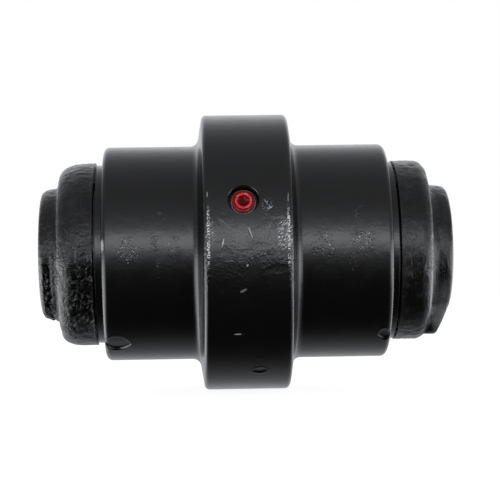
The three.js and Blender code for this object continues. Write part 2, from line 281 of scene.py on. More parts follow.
def install(name, mesh, finishes, body):
    """Puts a finished mesh in the scene, in the place of the CAD node of the same name."""
    edit(mesh, smooth)
    kept = [face.material_index for face in mesh.polygons]
    mesh.materials.clear()
    for finish in finishes:
        mesh.materials.append(finish)
    mesh.polygons.foreach_set("material_index", kept)
    piece = bpy.data.objects.new(name + "_piece", mesh)
    bpy.context.scene.collection.objects.link(piece)
    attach(piece, body)
    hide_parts(name)
    pieces[name] = piece
    print(f"{name}: {len(mesh.polygons)} faces on {body}")
    return piece


print(f"edges are kept from {math.degrees(SHARP_ANGLE):.0f} degrees on")

# %% [markdown]
# ## Camera
#
# The roller is seen square from the side, at the height of its axis, from a little left of its
# middle. A long lens from 0.83 m keeps the two ends nearly the same size. The roller lies a touch
# out of level, which is easiest to give by rolling the camera.

# %% Camera
CAMERA_DISTANCE = 0.83
CAMERA_YAW = math.radians(1.65)
CAMERA_ROLL = math.radians(-0.85)
CAMERA_LENS = 122.4
CAMERA_SHIFT = (0.0104, 0.004)

camera = bpy.data.objects.new("camera", bpy.data.cameras.new("camera"))
bpy.context.scene.collection.objects.link(camera)
to_camera = Quaternion(UP, -CAMERA_YAW) @ FRONT
camera.location = to_camera * CAMERA_DISTANCE
camera.rotation_mode = "QUATERNION"
level = (-to_camera).to_track_quat("-Z", "Y")
camera.rotation_quaternion = level @ Quaternion((0, 0, 1), CAMERA_ROLL)
camera.data.lens = CAMERA_LENS
camera.data.shift_x, camera.data.shift_y = CAMERA_SHIFT
camera.data.clip_start = 0.01
bpy.context.scene.camera = camera
bpy.context.scene.view_settings.view_transform = "Standard"
print("camera at", [round(value, 3) for value in camera.location])

# %% [markdown]
# ## Node maths that reads like maths
#
# A finish is a node tree, and a tree built call by call is hard to read. Value wraps one output
# socket, and its operators add the Math nodes, so a mask can be written as 1 - edge * wear. Tree.add
# makes every other node from its type, its settings and what goes into its sockets.

# %% Values and trees
class Value:
    """A number that varies over a surface, as one socket of a node tree."""

    def __init__(self, tree, socket):
        self.tree = tree
        self.socket = socket

    def apply(self, operation, *others):
        inputs = dict(enumerate((self, *others)))
        return self.tree.add("Math", {"operation": operation}, inputs)

    def __add__(self, other):
        return self.apply("ADD", other)

    __radd__ = __add__

    def __mul__(self, other):
        return self.apply("MULTIPLY", other)

    __rmul__ = __mul__

    def __sub__(self, other):
        return self.apply("SUBTRACT", other)

    def __rsub__(self, other):
        return self.tree.add("Math", {"operation": "SUBTRACT"}, {0: other, 1: self})

    def __truediv__(self, other):
        return self.apply("DIVIDE", other)

    def __abs__(self):
        return self.apply("ABSOLUTE")

    def rises(self, low, high):
        """0 below low and 1 above high, with a soft step between. With low above high it falls."""
        inputs = {"Value": self, "From Min": low, "From Max": high}
        return self.tree.add("MapRange", {"interpolation_type": "SMOOTHSTEP"}, inputs)

    def within(self, start, full, fading, end):
        """1 between full and fading, and 0 before start and after end."""
        return self.rises(start, full) * self.rises(end, fading)

    def at_most_one(self):
        """The value, or 1 where it is more."""
        return self.apply("MINIMUM", 1)


class Tree:
    """A node tree with one way to add a node."""

    def __init__(self, owner):
        owner.use_nodes = True
        self.nodes = owner.node_tree.nodes
        self.links = owner.node_tree.links
        self.nodes.clear()

    def add(self, kind, settings=None, inputs=None, output=0):
        """Adds a node, sets it up, feeds its sockets and returns one of its outputs."""
        node = self.nodes.new("ShaderNode" + kind)
        for setting, value in (settings or {}).items():
            if setting == "stops":
                self.set_stops(node.color_ramp.elements, value)
            else:
                setattr(node, setting, value)
        for socket, value in (inputs or {}).items():
            if isinstance(value, Value):
                self.links.new(value.socket, node.inputs[socket])
            else:
                node.inputs[socket].default_value = value
        return Value(self, node.outputs[output]) if node.outputs else None

    def mix(self, share, first, second):
        """A colour between two, by a share from 0 to 1."""
        inputs = {0: share, 6: first, 7: second}
        return self.add("Mix", {"data_type": "RGBA"}, inputs, 2)

    def parts(self, vector):
        """The X, Y and Z of a vector."""
        node = self.nodes.new("ShaderNodeSeparateXYZ")
        self.links.new(vector.socket, node.inputs[0])
        return [Value(self, socket) for socket in node.outputs]

    def set_stops(self, elements, stops):
        while len(elements) < len(stops):
            elements.new(1)
        for element, (position, level) in zip(elements, stops):
            element.position = position
            element.color = (level, level, level, 1)


print("operators of a Value:", [name for name in vars(Value) if name.startswith("__")])

# %% [markdown]
# ## Light
#
# The roller stands in a white tent: a soft box in front and a little above, a paler ceiling, a white
# backdrop, a lit table at both sides, and a dark room below and behind the camera. Satin black paint
# shows almost nothing but this. So the world holds the tent as levels: one ramp by the angle round
# the roller's axis, and one for each side by height. The soft box is a real area light. To the camera
# itself the world is plain white.

# %% World
TENT_SCALE = 6
TENT_TINT = (0.98, 1.0, 1.045)
WHITE = (1, 1, 1, 1)
ROUND_TENT = [
    # Degrees up from the front, and how bright the tent is there.
    (-180, 0.9), (-152, 0.82), (-135, 0.5), (-120, 0.38), (-108, 0.2), (-97, 0.07), (-86, 0.02),
    (-30, 0.012), (-12, 0.05), (3, 0.5), (30, 0.72), (46, 0.44), (62, 0.36), (84, 0.4), (104, 0.47),
    (122, 0.62), (138, 0.92), (152, 1.5), (180, 1.3),
]
# How bright each side is, from straight down at -1 over level at 0 to straight up at 1.
LEFT_TENT = [(-1, 0.5), (-0.8, 0.9), (-0.6, 4.6), (-0.1, 5.3), (0.02, 0.9), (0.4, 0.4), (1, 0.5)]
RIGHT_TENT = [(-1, 0.4), (-0.5, 0.8), (-0.3, 4.0), (0.02, 4.9), (0.14, 0.8), (0.4, 0.4), (1, 0.5)]

world = bpy.data.worlds.new("studio")
bpy.context.scene.world = world
tent = Tree(world)


def tent_level(share, levels, low, high):
    """Brightness from a ramp between two bounds. A ramp's own levels end at 1, so they are scaled."""
    stops = [((position - low) / (high - low), level / TENT_SCALE) for position, level in levels]
    return tent.add("ValToRGB", {"stops": stops}, {0: (share - low) / (high - low)}) * TENT_SCALE


sideways, backwards, upwards = tent.parts(tent.add("TexCoord"))
turn_up = tent.add("Math", {"operation": "ARCTAN2"}, {0: upwards, 1: -1 * backwards})
degrees_up = turn_up * (180 / math.pi)
in_the_round = tent_level(degrees_up, ROUND_TENT, -180, 180)
at_left = (-1 * sideways).rises(0.42, 0.86)
at_right = sideways.rises(0.42, 0.86)
from_left = tent_level(upwards, LEFT_TENT, -1, 1) * at_left
from_right = tent_level(upwards, RIGHT_TENT, -1, 1) * at_right
light_level = in_the_round * (1 - at_left - at_right) + (from_left + from_right)
seen_directly = tent.add("LightPath")
light = tent.add("VectorMath", {"operation": "SCALE"}, {0: TENT_TINT, "Scale": light_level})
background = tent.add("Background", None, {"Color": tent.mix(seen_directly, light, WHITE)})
tent.add("OutputWorld", None, {"Surface": background})
print("tent levels:", len(ROUND_TENT), "round the axis")

# %% [markdown]
# ### The soft box
#
# A broad, low area light draws the long streak along the flange and the treads. A rectangle gives the
# streak straight, soft edges, which a point or a sun would not.

# %% Soft box
SOFT_BOX_LEVEL = 3.9
SOFT_BOX_SIZE = (1.7, 0.34)
SOFT_BOX_DISTANCE = 1.25
SOFT_BOX_HEIGHT = math.radians(12)

soft_box = bpy.data.objects.new("soft_box", bpy.data.lights.new("soft_box", "AREA"))
bpy.context.scene.collection.objects.link(soft_box)
soft_box.data.shape = "RECTANGLE"
soft_box.data.size, soft_box.data.size_y = SOFT_BOX_SIZE
soft_box.data.energy = SOFT_BOX_LEVEL * math.pi * SOFT_BOX_SIZE[0] * SOFT_BOX_SIZE[1]
soft_box.data.color = TENT_TINT
towards = Vector((0, -math.cos(SOFT_BOX_HEIGHT), math.sin(SOFT_BOX_HEIGHT)))
soft_box.location = towards * SOFT_BOX_DISTANCE
soft_box.rotation_euler = towards.to_track_quat("Z", "Y").to_euler()
soft_box.visible_camera = False
print(f"soft box: {soft_box.data.energy:.2f} W")

# %% [markdown]
# ## Floor
#
# The floor is as white as the backdrop, so that no line shows where they meet, and the roller only
# just darkens it. Paint this glossy would mirror a white floor all along its underside, so the
# floor is hidden from its reflections. Seen from below it is clear.

# %% Floor
FLOOR_SIZE = 3.0
FLOOR_GAP = 0.0004

floor_finish = bpy.data.materials.new("floor")
floor_tree = Tree(floor_finish)
glow = floor_tree.add("Emission", None, {"Color": (1, 1, 1, 1), "Strength": 0.9})
matte = floor_tree.add("BsdfDiffuse", None, {"Color": (0.3, 0.3, 0.3, 1)})
lit = floor_tree.add("AddShader", None, {0: glow, 1: matte})
clear = floor_tree.add("BsdfTransparent")
from_below = floor_tree.add("NewGeometry", None, None, "Backfacing")
floor_shader = floor_tree.add("MixShader", None, {0: from_below, 1: lit, 2: clear})
floor_tree.add("OutputMaterial", None, {0: floor_shader})

floor_mesh = bpy.data.meshes.new("floor")
half = FLOOR_SIZE / 2
below = -FLANGE_RADIUS * MM - FLOOR_GAP
floor_corners = [(-half, -half, below), (half, -half, below), (half, half, below), (-half, half, below)]
floor_mesh.from_pydata(floor_corners, [], [(0, 1, 2, 3)])
floor_mesh.materials.append(floor_finish)
floor = bpy.data.objects.new("floor", floor_mesh)
bpy.context.scene.collection.objects.link(floor)
floor.visible_glossy = False
floor.visible_diffuse = False
print(f"floor {FLOOR_SIZE:.0f} m wide, {below / MM:.1f} mm from the axis")

# %% [markdown]
# ## Finishes
#
# Every finish starts from the same things: where a point of the surface is on the piece, how far it
# is from the axis, and how far round it is. Those never move with the camera, so the finish stays on
# the piece when it turns. A class holds them, with the few steps that all finishes share.

# %% A finish and what it can draw with
class Finish(Tree):
    """A material for pieces that are turned about the X axis. Its lengths are in millimetres."""

    def __init__(self, name):
        self.material = bpy.data.materials.new(name)
        super().__init__(self.material)
        self.spot = self.add("TexCoord", None, None, "Object")
        x, y, z = (part * (1 / MM) for part in self.parts(self.spot))
        self.along = x
        self.radius = self.add("Math", {"operation": "SQRT"}, {0: y * y + z * z})
        self.round = self.add("Math", {"operation": "ARCTAN2"}, {0: z, 1: -1 * y}) * (180 / math.pi)

    def grain(self, size, detail=3, stretch=(1, 1, 1), distortion=0.0):
        """Noise from 0 to 1 with features of a size in millimetres, drawn out along X, Y or Z."""
        scale = tuple(1 / (size * MM * share) for share in stretch)
        where = self.add("Mapping", None, {0: self.spot, 3: scale})
        inputs = {"Vector": where, "Scale": 1, "Detail": detail, "Distortion": distortion}
        return self.add("TexNoise", None, inputs)

    def unrolled(self, length, width, tilt):
        """A flat map of the flange's outside, measured along and across lines with a tilt in degrees."""
        up = self.round * (FLANGE_RADIUS * math.pi / 180)
        cos, sin = math.cos(math.radians(tilt)), math.sin(math.radians(tilt))
        along_lines = (self.along * cos + up * sin) / length
        return along_lines, (up * cos - self.along * sin) / width

    def streaks(self, length, width, tilt):
        """Noise from 0 to 1 in slanted streaks."""
        u, v = self.unrolled(length, width, tilt)
        where = self.add("CombineXYZ", None, {0: u, 1: v})
        return self.add("TexNoise", None, {"Vector": where, "Scale": 1, "Detail": 2, "Roughness": 0.6})

    def mark(self, along, round_at, length, width, tilt):
        """1 on a single short scratch on the flange and 0 beside it. Its edges are ragged."""
        up = FLANGE_RADIUS * math.radians(round_at)
        cos, sin = math.cos(math.radians(tilt)), math.sin(math.radians(tilt))
        u, v = self.unrolled(length, width, tilt)
        u = u - (along * cos + up * sin) / length
        v = v - (up * cos - along * sin) / width
        return (u * u + v * v + (self.grain(0.7, detail=2) - 0.5) * 1.6).rises(1, 0.5)

    def spots(self, size):
        """The distance from the nearest of many scattered points, in sizes."""
        inputs = {"Vector": self.spot, "Scale": 1 / (size * MM), "Randomness": 1}
        return self.add("TexVoronoi", None, inputs)

    def from_plug_line(self):
        """How far a point is from the line of the oil plug, in millimetres."""
        where = self.add("VectorMath", {"operation": "SUBTRACT"}, {0: self.spot, 1: PLUG_PLACE})
        beside = self.add("VectorMath", {"operation": "CROSS_PRODUCT"}, {0: where, 1: PLUG_DIRECTION})
        return self.add("VectorMath", {"operation": "LENGTH"}, {0: beside}, "Value") * (1 / MM)

    def patch(self, along, round_at, width, height):
        """1 in the middle of an oval patch and 0 outside it. Width is in mm, height in degrees."""
        u = (self.along - along) / width
        v = (self.round - round_at) / height
        return (u * u + v * v).rises(1, 0.15)

    def relief(self, height, depth, under=None):
        """A normal bent by a height from 0 to 1 that stands for a depth in millimetres."""
        inputs = {"Height": height, "Distance": depth * MM, "Strength": 1.0}
        if under is not None:
            inputs["Normal"] = under
        return self.add("Bump", None, inputs)

    def surface(self, hollows=None, **sockets):
        """The shader. Names are those of its sockets, with underscores for spaces.

        Hollows is the share of a matte black that no light gets out of.
        """
        inputs = {name.replace("_", " "): value for name, value in sockets.items()}
        shader = self.add("BsdfPrincipled", None, inputs)
        if hollows is not None:
            matte = self.add("BsdfDiffuse", None, {"Color": HOLLOW_BLACK})
            shader = self.add("MixShader", None, {0: hollows, 1: shader, 2: matte})
        self.add("OutputMaterial", None, {0: shader})
        return self.material


def grey(level, blue=0.0):
    """A neutral colour, or one with a little more blue."""
    return (level, level * (1 + blue / 2), level * (1 + blue), 1)


HOLLOW_BLACK = grey(0.002)
print("a finish has:", [name for name in vars(Finish) if not name.startswith("_")])


# %% [markdown]
# ### Satin black paint
#
# The shell is turned steel under one coat of satin black. Three things keep it from looking like
# plastic: fine orange peel from the spray, the faint rings that the lathe left below it, and the
# knocks of handling. The knocks lie where the flange and the treads bulge towards the front. The
# flange has rubbed patches, slanted scratches by its right edge, pale flecks along both edges and a
# few single scratches. The treads have knocked patches, with pits, specks and a gritty surface. The
# pale colour of the scratches, flecks and specks is partly wear and partly painted glints: light that
# the soft box would catch on them, painted into the colour.

# %% Black paint on the shell
PAINT = grey(0.0026)
# Pale colours of worn paint, also used as painted glints where the soft box's light falls.
RUBBED_PAINT_AND_GLINT = grey(0.36, 0.05)
CHIP_AND_GLINT = grey(0.8, 0.02)

# Single scratches on the flange: place along, degrees round, half length, half width, tilt, how pale.
MARKS = [
    (1.0, 7.2, 2.9, 0.3, -70, 0.3),
    (-11.6, 3.9, 2.2, 0.36, 76, 0.4),
    (-2.6, -15.0, 1.8, 0.36, 22, 0.2),
    (-5.2, -34.3, 1.8, 0.4, 2, 0.3),
    (7.9, 20.0, 1.6, 0.26, -58, 0.2),
    (9.8, 17.2, 1.4, 0.3, 32, 0.3),
    (-18.4, 23.2, 1.5, 0.3, 90, 0.25),
    (18.2, 21.5, 2.6, 0.3, 88, 0.2),
    (-0.7, -5.1, 0.7, 0.4, 60, 0.3),
]

# Knocked patches on the treads: place along, degrees round, half width, half height, how strong.
KNOCKED = [
    (-55, 1.5, 7, 8, 1.0),
    (-42.6, 5, 3, 4.5, 0.9),
    (-34, 3.5, 4.6, 6.5, 0.9),
    (-40.3, 19, 3.2, 5, 0.35),
    (-41, -9, 2, 7, 0.3),
    (34.5, 3.5, 6.5, 9, 1.0),
    (53, 5.5, 7.5, 7.5, 1.0),
    (52, 19, 3.8, 6, 0.35),
    (48.5, -7, 2.4, 6, 0.3),
]


def black_paint():
    finish = Finish("black_paint")
    peel = finish.grain(1.7, detail=3)
    ripple = finish.grain(4.5, detail=3, stretch=(1, 0.6, 0.6), distortion=0.5)
    rings = finish.grain(1.1, detail=3, stretch=(0.3, 14, 14))
    smudge = finish.grain(11, detail=4, distortion=0.6)
    grit = finish.grain(1.1, detail=4)

    on_flange = finish.radius.rises(FLANGE_RADIUS - 1.2, FLANGE_RADIUS - 0.2)
    on_tread = 1 - on_flange
    from_middle = abs(finish.along)
    flange_edge = from_middle.within(17.3, 17.9, 18.4, 19.0) * on_flange
    front = abs(finish.round - 3)
    handled = front.rises(34, 12)

    # Short slanted scratches by the flange's right edge and fewer by its left one. Their pale colour is
    # wear and also painted glints.
    slant = finish.streaks(1.9, 0.5, 40)
    rubbed = finish.patch(16.8, 7.5, 5.6, 8) + finish.patch(-17.4, 6, 2.8, 10) * 0.6
    rubbed = rubbed + finish.patch(16.2, 0, 4.5, 7) * 0.35
    rubbed = (rubbed + finish.patch(2, 3, 17, 9) * 0.3).at_most_one() * on_flange
    scratches_and_glints = (slant + rubbed * 0.1).rises(0.59, 0.7) * rubbed
    marks = 0
    for along, round_at, length, width, tilt, paleness in MARKS:
        marks = finish.mark(along, round_at, length, width, tilt) * paleness + marks
    marks = marks * on_flange

    # Pale flecks on the flange's edges and by the plug, and pits and specks in the treads. The pale
    # colour is wear and painted glints.
    fleck_size = finish.spots(0.6)
    cluster = finish.grain(3.2, detail=3)
    edge_field = flange_edge * abs(finish.round - 6).rises(14, 7)
    edge_flecks_and_glints = (fleck_size - cluster * 0.7).rises(0.2, -0.02) * edge_field
    flecks_and_glints_by_plug = (fleck_size - cluster * 0.3).rises(0.14, 0.0)
    flecks_and_glints_by_plug = flecks_and_glints_by_plug * finish.patch(8.8, 18.5, 3.2, 3.2) * on_flange
    field = 0
    for along, round_at, width, height, share in KNOCKED:
        field = finish.patch(along, round_at, width, height) * share + field
    field = field.at_most_one() * on_tread
    pit_distance = finish.spots(1.25)
    pits = pit_distance.rises(0.34, 0.1) * field * cluster.rises(0.4, 0.52)
    specks_and_glints = finish.spots(0.8).rises(0.3, 0.1) * field * finish.grain(2.4, detail=3).rises(0.5, 0.6)

    # Ripples and grit where the light falls, and more grit along the flange where the light ends.
    rough_field = handled * smudge.rises(0.42, 0.62)
    gritty = finish.patch(-4, -6, 22, 7) * 0.7 + finish.patch(13, -5, 9, 4.5)
    gritty = (gritty * on_flange + rough_field * 0.3 + field * 0.7).at_most_one()
    # A pale patch on the left tread's rounded corner in front: a painted highlight.
    painted_corner_highlight = finish.patch(-66.7, 4.2, 0.9, 4.5) * grit.rises(0.35, 0.6)
    pale_wear_and_glints = (edge_flecks_and_glints + flecks_and_glints_by_plug * 0.8 + specks_and_glints * 0.9 + painted_corner_highlight * 0.5).at_most_one()
    colour = finish.mix(scratches_and_glints, PAINT, RUBBED_PAINT_AND_GLINT)
    colour = finish.mix((pale_wear_and_glints * 0.8 + marks).at_most_one(), colour, CHIP_AND_GLINT)
    roughness = 0.285 + (smudge - 0.5) * 0.1
    base_relief = finish.relief(peel * 0.6 + rings * 0.4, 0.02)
    ripple_share = 0.25 + rough_field * (0.15 + on_flange * 0.6)
    soft_relief = finish.relief(ripple * ripple_share, 0.16, base_relief)
    grit_relief = finish.relief(grit * gritty, 0.16, soft_relief)
    knock_relief = finish.relief(scratches_and_glints * 0.8 + edge_flecks_and_glints + flecks_and_glints_by_plug - pits, 0.16, grit_relief)
    return finish.surface(
        Base_Color=colour, Roughness=roughness, Normal=knock_relief, Specular_IOR_Level=0.5)


BLACK_PAINT = black_paint()
print("black paint:", len(BLACK_PAINT.node_tree.nodes), "nodes")

# %% [markdown]
# ### The same paint on rough castings
#
# The collars come straight from the sand, and the paint follows every grain of it. The big lumps are
# in the mesh, further on. What is finer than the mesh is a bump here: sand grain all over, pits, and a
# dull, dusty coat in some patches. Low on the left collar the sand tore, on the rim and in a band round
# the boss. Its gaps are so deep that no light leaves them, and a bump can't show that, so a matte black
# is mixed in there. The foot of the right collar is dusty.

# %% Black paint on the castings
CAST_PAINT = grey(0.0024)
CAST_DUST = grey(0.025)


def rough_black_paint():
    finish = Finish("rough_black_paint")
    sand = finish.grain(0.75, detail=4)
    lumps = finish.grain(2.0, detail=4, distortion=0.6)
    drawn = finish.grain(1.2, detail=4, stretch=(0.6, 5.5, 5.5), distortion=0.2)
    dust = finish.grain(7, detail=4).rises(0.5, 0.72)
    pits = finish.spots(1.3).rises(0.32, 0.1) * finish.grain(5, detail=3).rises(0.47, 0.56)
    outwards = abs(finish.along)
    left_side = finish.along.rises(10, -10)
    right_boss = finish.along.rises(88, 91)
    rim_torn = outwards.rises(84.5, 81.5) * finish.round.within(-48, -38, -9, 0)
    boss_torn = outwards.within(92.6, 93.6, 95.6, 96.6) * finish.round.within(-66, -54, -10, -2)
    torn = (rim_torn + boss_torn) * left_side
    gaps = finish.grain(3.0, detail=5, distortion=1.6).rises(0.6, 0.5) * torn
    # A lighter bluish band low in front on the left boss's end: a painted highlight.
    painted_end_highlight = outwards.rises(95.4, 96.8) * left_side * finish.round.within(-75, -55, -8, 2)
    foot_dust = right_boss * finish.round.rises(-20, -48)
    low = finish.round.rises(22, -4)
    strength = left_side * (0.45 + low * 0.55) + (1 - left_side) * 0.2 + torn * 0.5
    # Pale specks low in front on the left collar: painted glints on the cast lumps.
    painted_glint_grain = finish.spots(1.1).rises(0.2, 0.05) * finish.grain(4, detail=3).rises(0.5, 0.6)
    sparkles = painted_glint_grain * left_side * finish.round.within(-60, -35, 0, 12)
    colour = finish.mix(dust * 0.3, CAST_PAINT, CAST_DUST)
    colour = finish.mix((foot_dust + painted_end_highlight * 0.8).at_most_one(), colour, grey(0.05, 0.06))
    colour = finish.mix(sparkles, colour, grey(0.5))
    roughness = 0.33 + dust * 0.1 - left_side * 0.02 + foot_dust * 0.1
    grain = finish.relief(sand * strength + drawn * 0.7, 0.26)
    relief = finish.relief((lumps - pits * 0.8) * strength, 0.55, grain)
    return finish.surface(
        hollows=gaps * 0.9, Base_Color=colour, Roughness=roughness, Normal=relief, Specular_IOR_Level=0.4)


ROUGH_BLACK_PAINT = rough_black_paint()
print("rough black paint:", len(ROUGH_BLACK_PAINT.node_tree.nodes), "nodes")

# %% [markdown]
# ### Bare metals
#
# Inside, nothing is painted. Each metal is told apart by its colour and by how it was cut: turned
# bores carry fine rings, ground steel finer ones, and lapped seal faces a crossed haze. The rings are
# noise that is squeezed along the axis and drawn out across it.

# %% Bare metals
def bare_metal(name, colour, stain, roughness, ring_size, ring_depth, haze=0.0):
    finish = Finish(name)
    rings = finish.grain(ring_size, detail=3, stretch=(0.35, 40, 40))
    cloud = finish.grain(9, detail=4, distortion=0.5)
    cross = finish.grain(0.5, detail=2)
    tone = finish.mix(cloud.rises(0.42, 0.75) * 0.6, colour, stain)
    rough = roughness + (cloud - 0.5) * 0.16 + cross * haze
    relief = finish.relief(rings * (1 - haze) + cross * haze, ring_depth)
    return finish.surface(Base_Color=tone, Metallic=1.0, Roughness=rough, Normal=relief)


def turned_steel():
    return bare_metal("turned_steel", grey(0.42, 0.03), grey(0.2), 0.3, 0.6, 0.012)


def ground_steel():
    return bare_metal("ground_steel", grey(0.5, 0.03), grey(0.3), 0.24, 0.3, 0.006)


def bronze():
    return bare_metal("bronze", (0.5, 0.31, 0.14, 1), (0.28, 0.17, 0.09, 1), 0.32, 0.5, 0.01)


def seal_iron():
    return bare_metal("seal_iron", grey(0.36, 0.04), grey(0.22), 0.2, 0.3, 0.005, haze=0.4)


TURNED_STEEL, GROUND_STEEL = turned_steel(), ground_steel()
BRONZE, SEAL_IRON = bronze(), seal_iron()
print("metals:", [metal.name for metal in (TURNED_STEEL, GROUND_STEEL, BRONZE, SEAL_IRON)])

# %% [markdown]
# ### Rubber, the red plug and its washer
#
# Rubber is nearly black and matte, with a skin of fine grain and a bloom of dust. The plug is dipped in
# red. The coat runs a little, has a painted highlight on the ring round the socket, and is dull where
# dirt has settled; its socket and the groove round the ring are painted darker as painted shade. Under
# the plug lies an aluminium washer. Its outer edge, by the pocket's wall, is painted dark as painted
# shade, and only its inner edge stays pale.

# %% Rubber, red and aluminium
def rubber():
    finish = Finish("rubber")
    skin_grain = finish.grain(0.35, detail=3)
    bloom = finish.grain(6, detail=3).rises(0.45, 0.75)
    colour = finish.mix(bloom * 0.6, grey(0.012), grey(0.035))
    relief = finish.relief(skin_grain, 0.015)
    return finish.surface(Base_Color=colour, Roughness=0.55 + bloom * 0.2, Normal=relief)


def red_plug():
    finish = Finish("red_plug")
    from_line = finish.from_plug_line()
    runs = finish.grain(1.6, detail=2, distortion=0.8)
    dirt = finish.grain(1.1, detail=3).rises(0.5, 0.68)
    # The socket and the groove round the ring are darkened below: painted shade in the recesses.
    in_socket = from_line.rises(3.0, 2.4)
    in_groove = from_line.within(3.9, 4.25, 4.5, 4.9)
    # A pale pink ring round the socket, broken by noise: a painted highlight.
    painted_ring_highlight = finish.grain(0.9, detail=2).rises(0.45, 0.6) * from_line.within(3.0, 3.3, 3.7, 4.0)
    on_head = from_line.rises(4.0, 4.4)
    # Darker where dirt settles, on the head's outer part, and in the socket and the groove as painted
    # shade.
    dirt_tone_and_painted_shade = (in_socket * 0.85 + in_groove * 0.6 + dirt * 0.5 + on_head * 0.3).apply("MINIMUM", 0.92)
    colour = finish.mix(dirt_tone_and_painted_shade, (0.5, 0.006, 0.012, 1), (0.05, 0.0005, 0.002, 1))
    colour = finish.mix(painted_ring_highlight * 0.5, colour, (0.8, 0.16, 0.17, 1))
    relief = finish.relief(runs, 0.25)
    return finish.surface(
        Base_Color=colour, Roughness=0.3 + dirt * 0.2 + in_socket * 0.15, Normal=relief,
        Specular_IOR_Level=0.25, Coat_Weight=0.12, Coat_Roughness=0.08)


def washer_aluminium():
    finish = Finish("washer_aluminium")
    from_line = finish.from_plug_line()
    haze = finish.grain(0.5, detail=2)
    # Darker towards the outer edge, by the pocket's wall: painted shade of the pocket.
    painted_pocket_shade = from_line.rises(5.5, 5.8)
    colour = finish.mix(painted_pocket_shade * 0.9 + haze * 0.1, grey(0.22, 0.02), grey(0.02))
    roughness = 0.5 + (haze - 0.5) * 0.2
    return finish.surface(
        Base_Color=colour, Metallic=1.0, Roughness=roughness, Normal=finish.relief(haze, 0.01))


RUBBER, RED, ALUMINIUM = rubber(), red_plug(), washer_aluminium()
print("all finishes:", [material.name for material in bpy.data.materials])

# %% [markdown]
# ## The shell
#
# One forging: the flange with its leaning sides in the middle, a tread on each side, and a narrow lip
# that runs up to the collar. Its outside is turned and painted. Inside are the seal pockets, the bores
# for the bushings and the oil chamber. It is one outline, given for one side and mirrored.

# %% Shell outline
SHELL_TURNS = 360
SHELL_STEP = 2.2
INSIDE_ROUNDING = 0.4

shell_half = [
    (FLANGE_RIM, FLANGE_RADIUS, 2.3),
    (FLANGE_ROOT, TREAD_RADIUS, 4.0),
    (TREAD_END, TREAD_RADIUS, 2.7),
    (TREAD_END, LIP_RADIUS, INSIDE_ROUNDING),
    (LIP_END, LIP_RADIUS, INSIDE_ROUNDING),
    (LIP_END, SEAL_BORE_RADIUS, INSIDE_ROUNDING),
    (SEAL_BORE_FLOOR, SEAL_BORE_RADIUS, INSIDE_ROUNDING),
    (SEAL_BORE_FLOOR, THRUST_POCKET_RADIUS, INSIDE_ROUNDING),
    (THRUST_POCKET_FLOOR, THRUST_POCKET_RADIUS, INSIDE_ROUNDING),
    (THRUST_POCKET_FLOOR, BUSHING_BORE_RADIUS, INSIDE_ROUNDING),
    (OIL_CHAMBER_HALF, BUSHING_BORE_RADIUS, INSIDE_ROUNDING),
    (OIL_CHAMBER_HALF, OIL_CHAMBER_RADIUS, INSIDE_ROUNDING),
]
shell_mesh = turned("shell", shell_half + mirrored(shell_half), SHELL_TURNS, SHELL_STEP)
print("shell before its dents:", len(shell_mesh.polygons), "faces")

# %% [markdown]
# ### Dents and knocks in the shell
#
# The roller has been handled: a leaf-shaped scoop low on the left tread, a deep round chip at the
# edge of the right one, an almond-shaped dimple under the flange, and nicks along the flange's edges.
# They are real hollows in the mesh. The faces under each one are first cut finer, and then its points
# move inwards by a formula of how far they are from its middle.

# %% Finer faces, and points moved inwards
FINE_CUTS = 4
LOWEST_DENT = TREAD_RADIUS - 3.5


def polar(point):
    """A mesh point as its place along the axis, its radius and its angle in degrees, in millimetres."""
    radius = math.hypot(point.y, point.z) / MM
    return point.x / MM, radius, math.degrees(math.atan2(point.z, -point.y))


def refine(shape, along, round_at, half_along, half_round, lowest_radius=LOWEST_DENT, cuts=FINE_CUTS):
    """Cuts the outer faces in a patch finer."""
    inside = []
    for face in shape.faces:
        x, radius, angle = polar(face.calc_center_median())
        near = abs(x - along) < half_along and abs(angle - round_at) < half_round
        if near and radius > lowest_radius:
            inside.append(face)
    edges = {edge for face in inside for edge in face.edges}
    bmesh.ops.subdivide_edges(shape, edges=list(edges), cuts=cuts, use_grid_fill=True)


def sink(point, depth):
    """Moves a mesh point towards the axis."""
    radius = math.hypot(point.y, point.z)
    share = (radius - depth * MM) / radius
    point.y *= share
    point.z *= share


def soft_step(low, high, value):
    """0 at low and 1 at high, with a soft step between. With low above high it falls."""
    t = min(max((value - low) / (high - low), 0.0), 1.0)
    return t * t * (3 - 2 * t)


print("dents reach the faces outside a radius of", LOWEST_DENT, "mm")

# %% [markdown]
# ### One dent
#
# Knocks on a roller are seldom round. They are leaves: long one way, pointed at both ends, with one
# steep side where the blow went in. So the distance from a dent's middle is measured with a square
# along it and nearly plainly across it, and the depth follows from that distance.

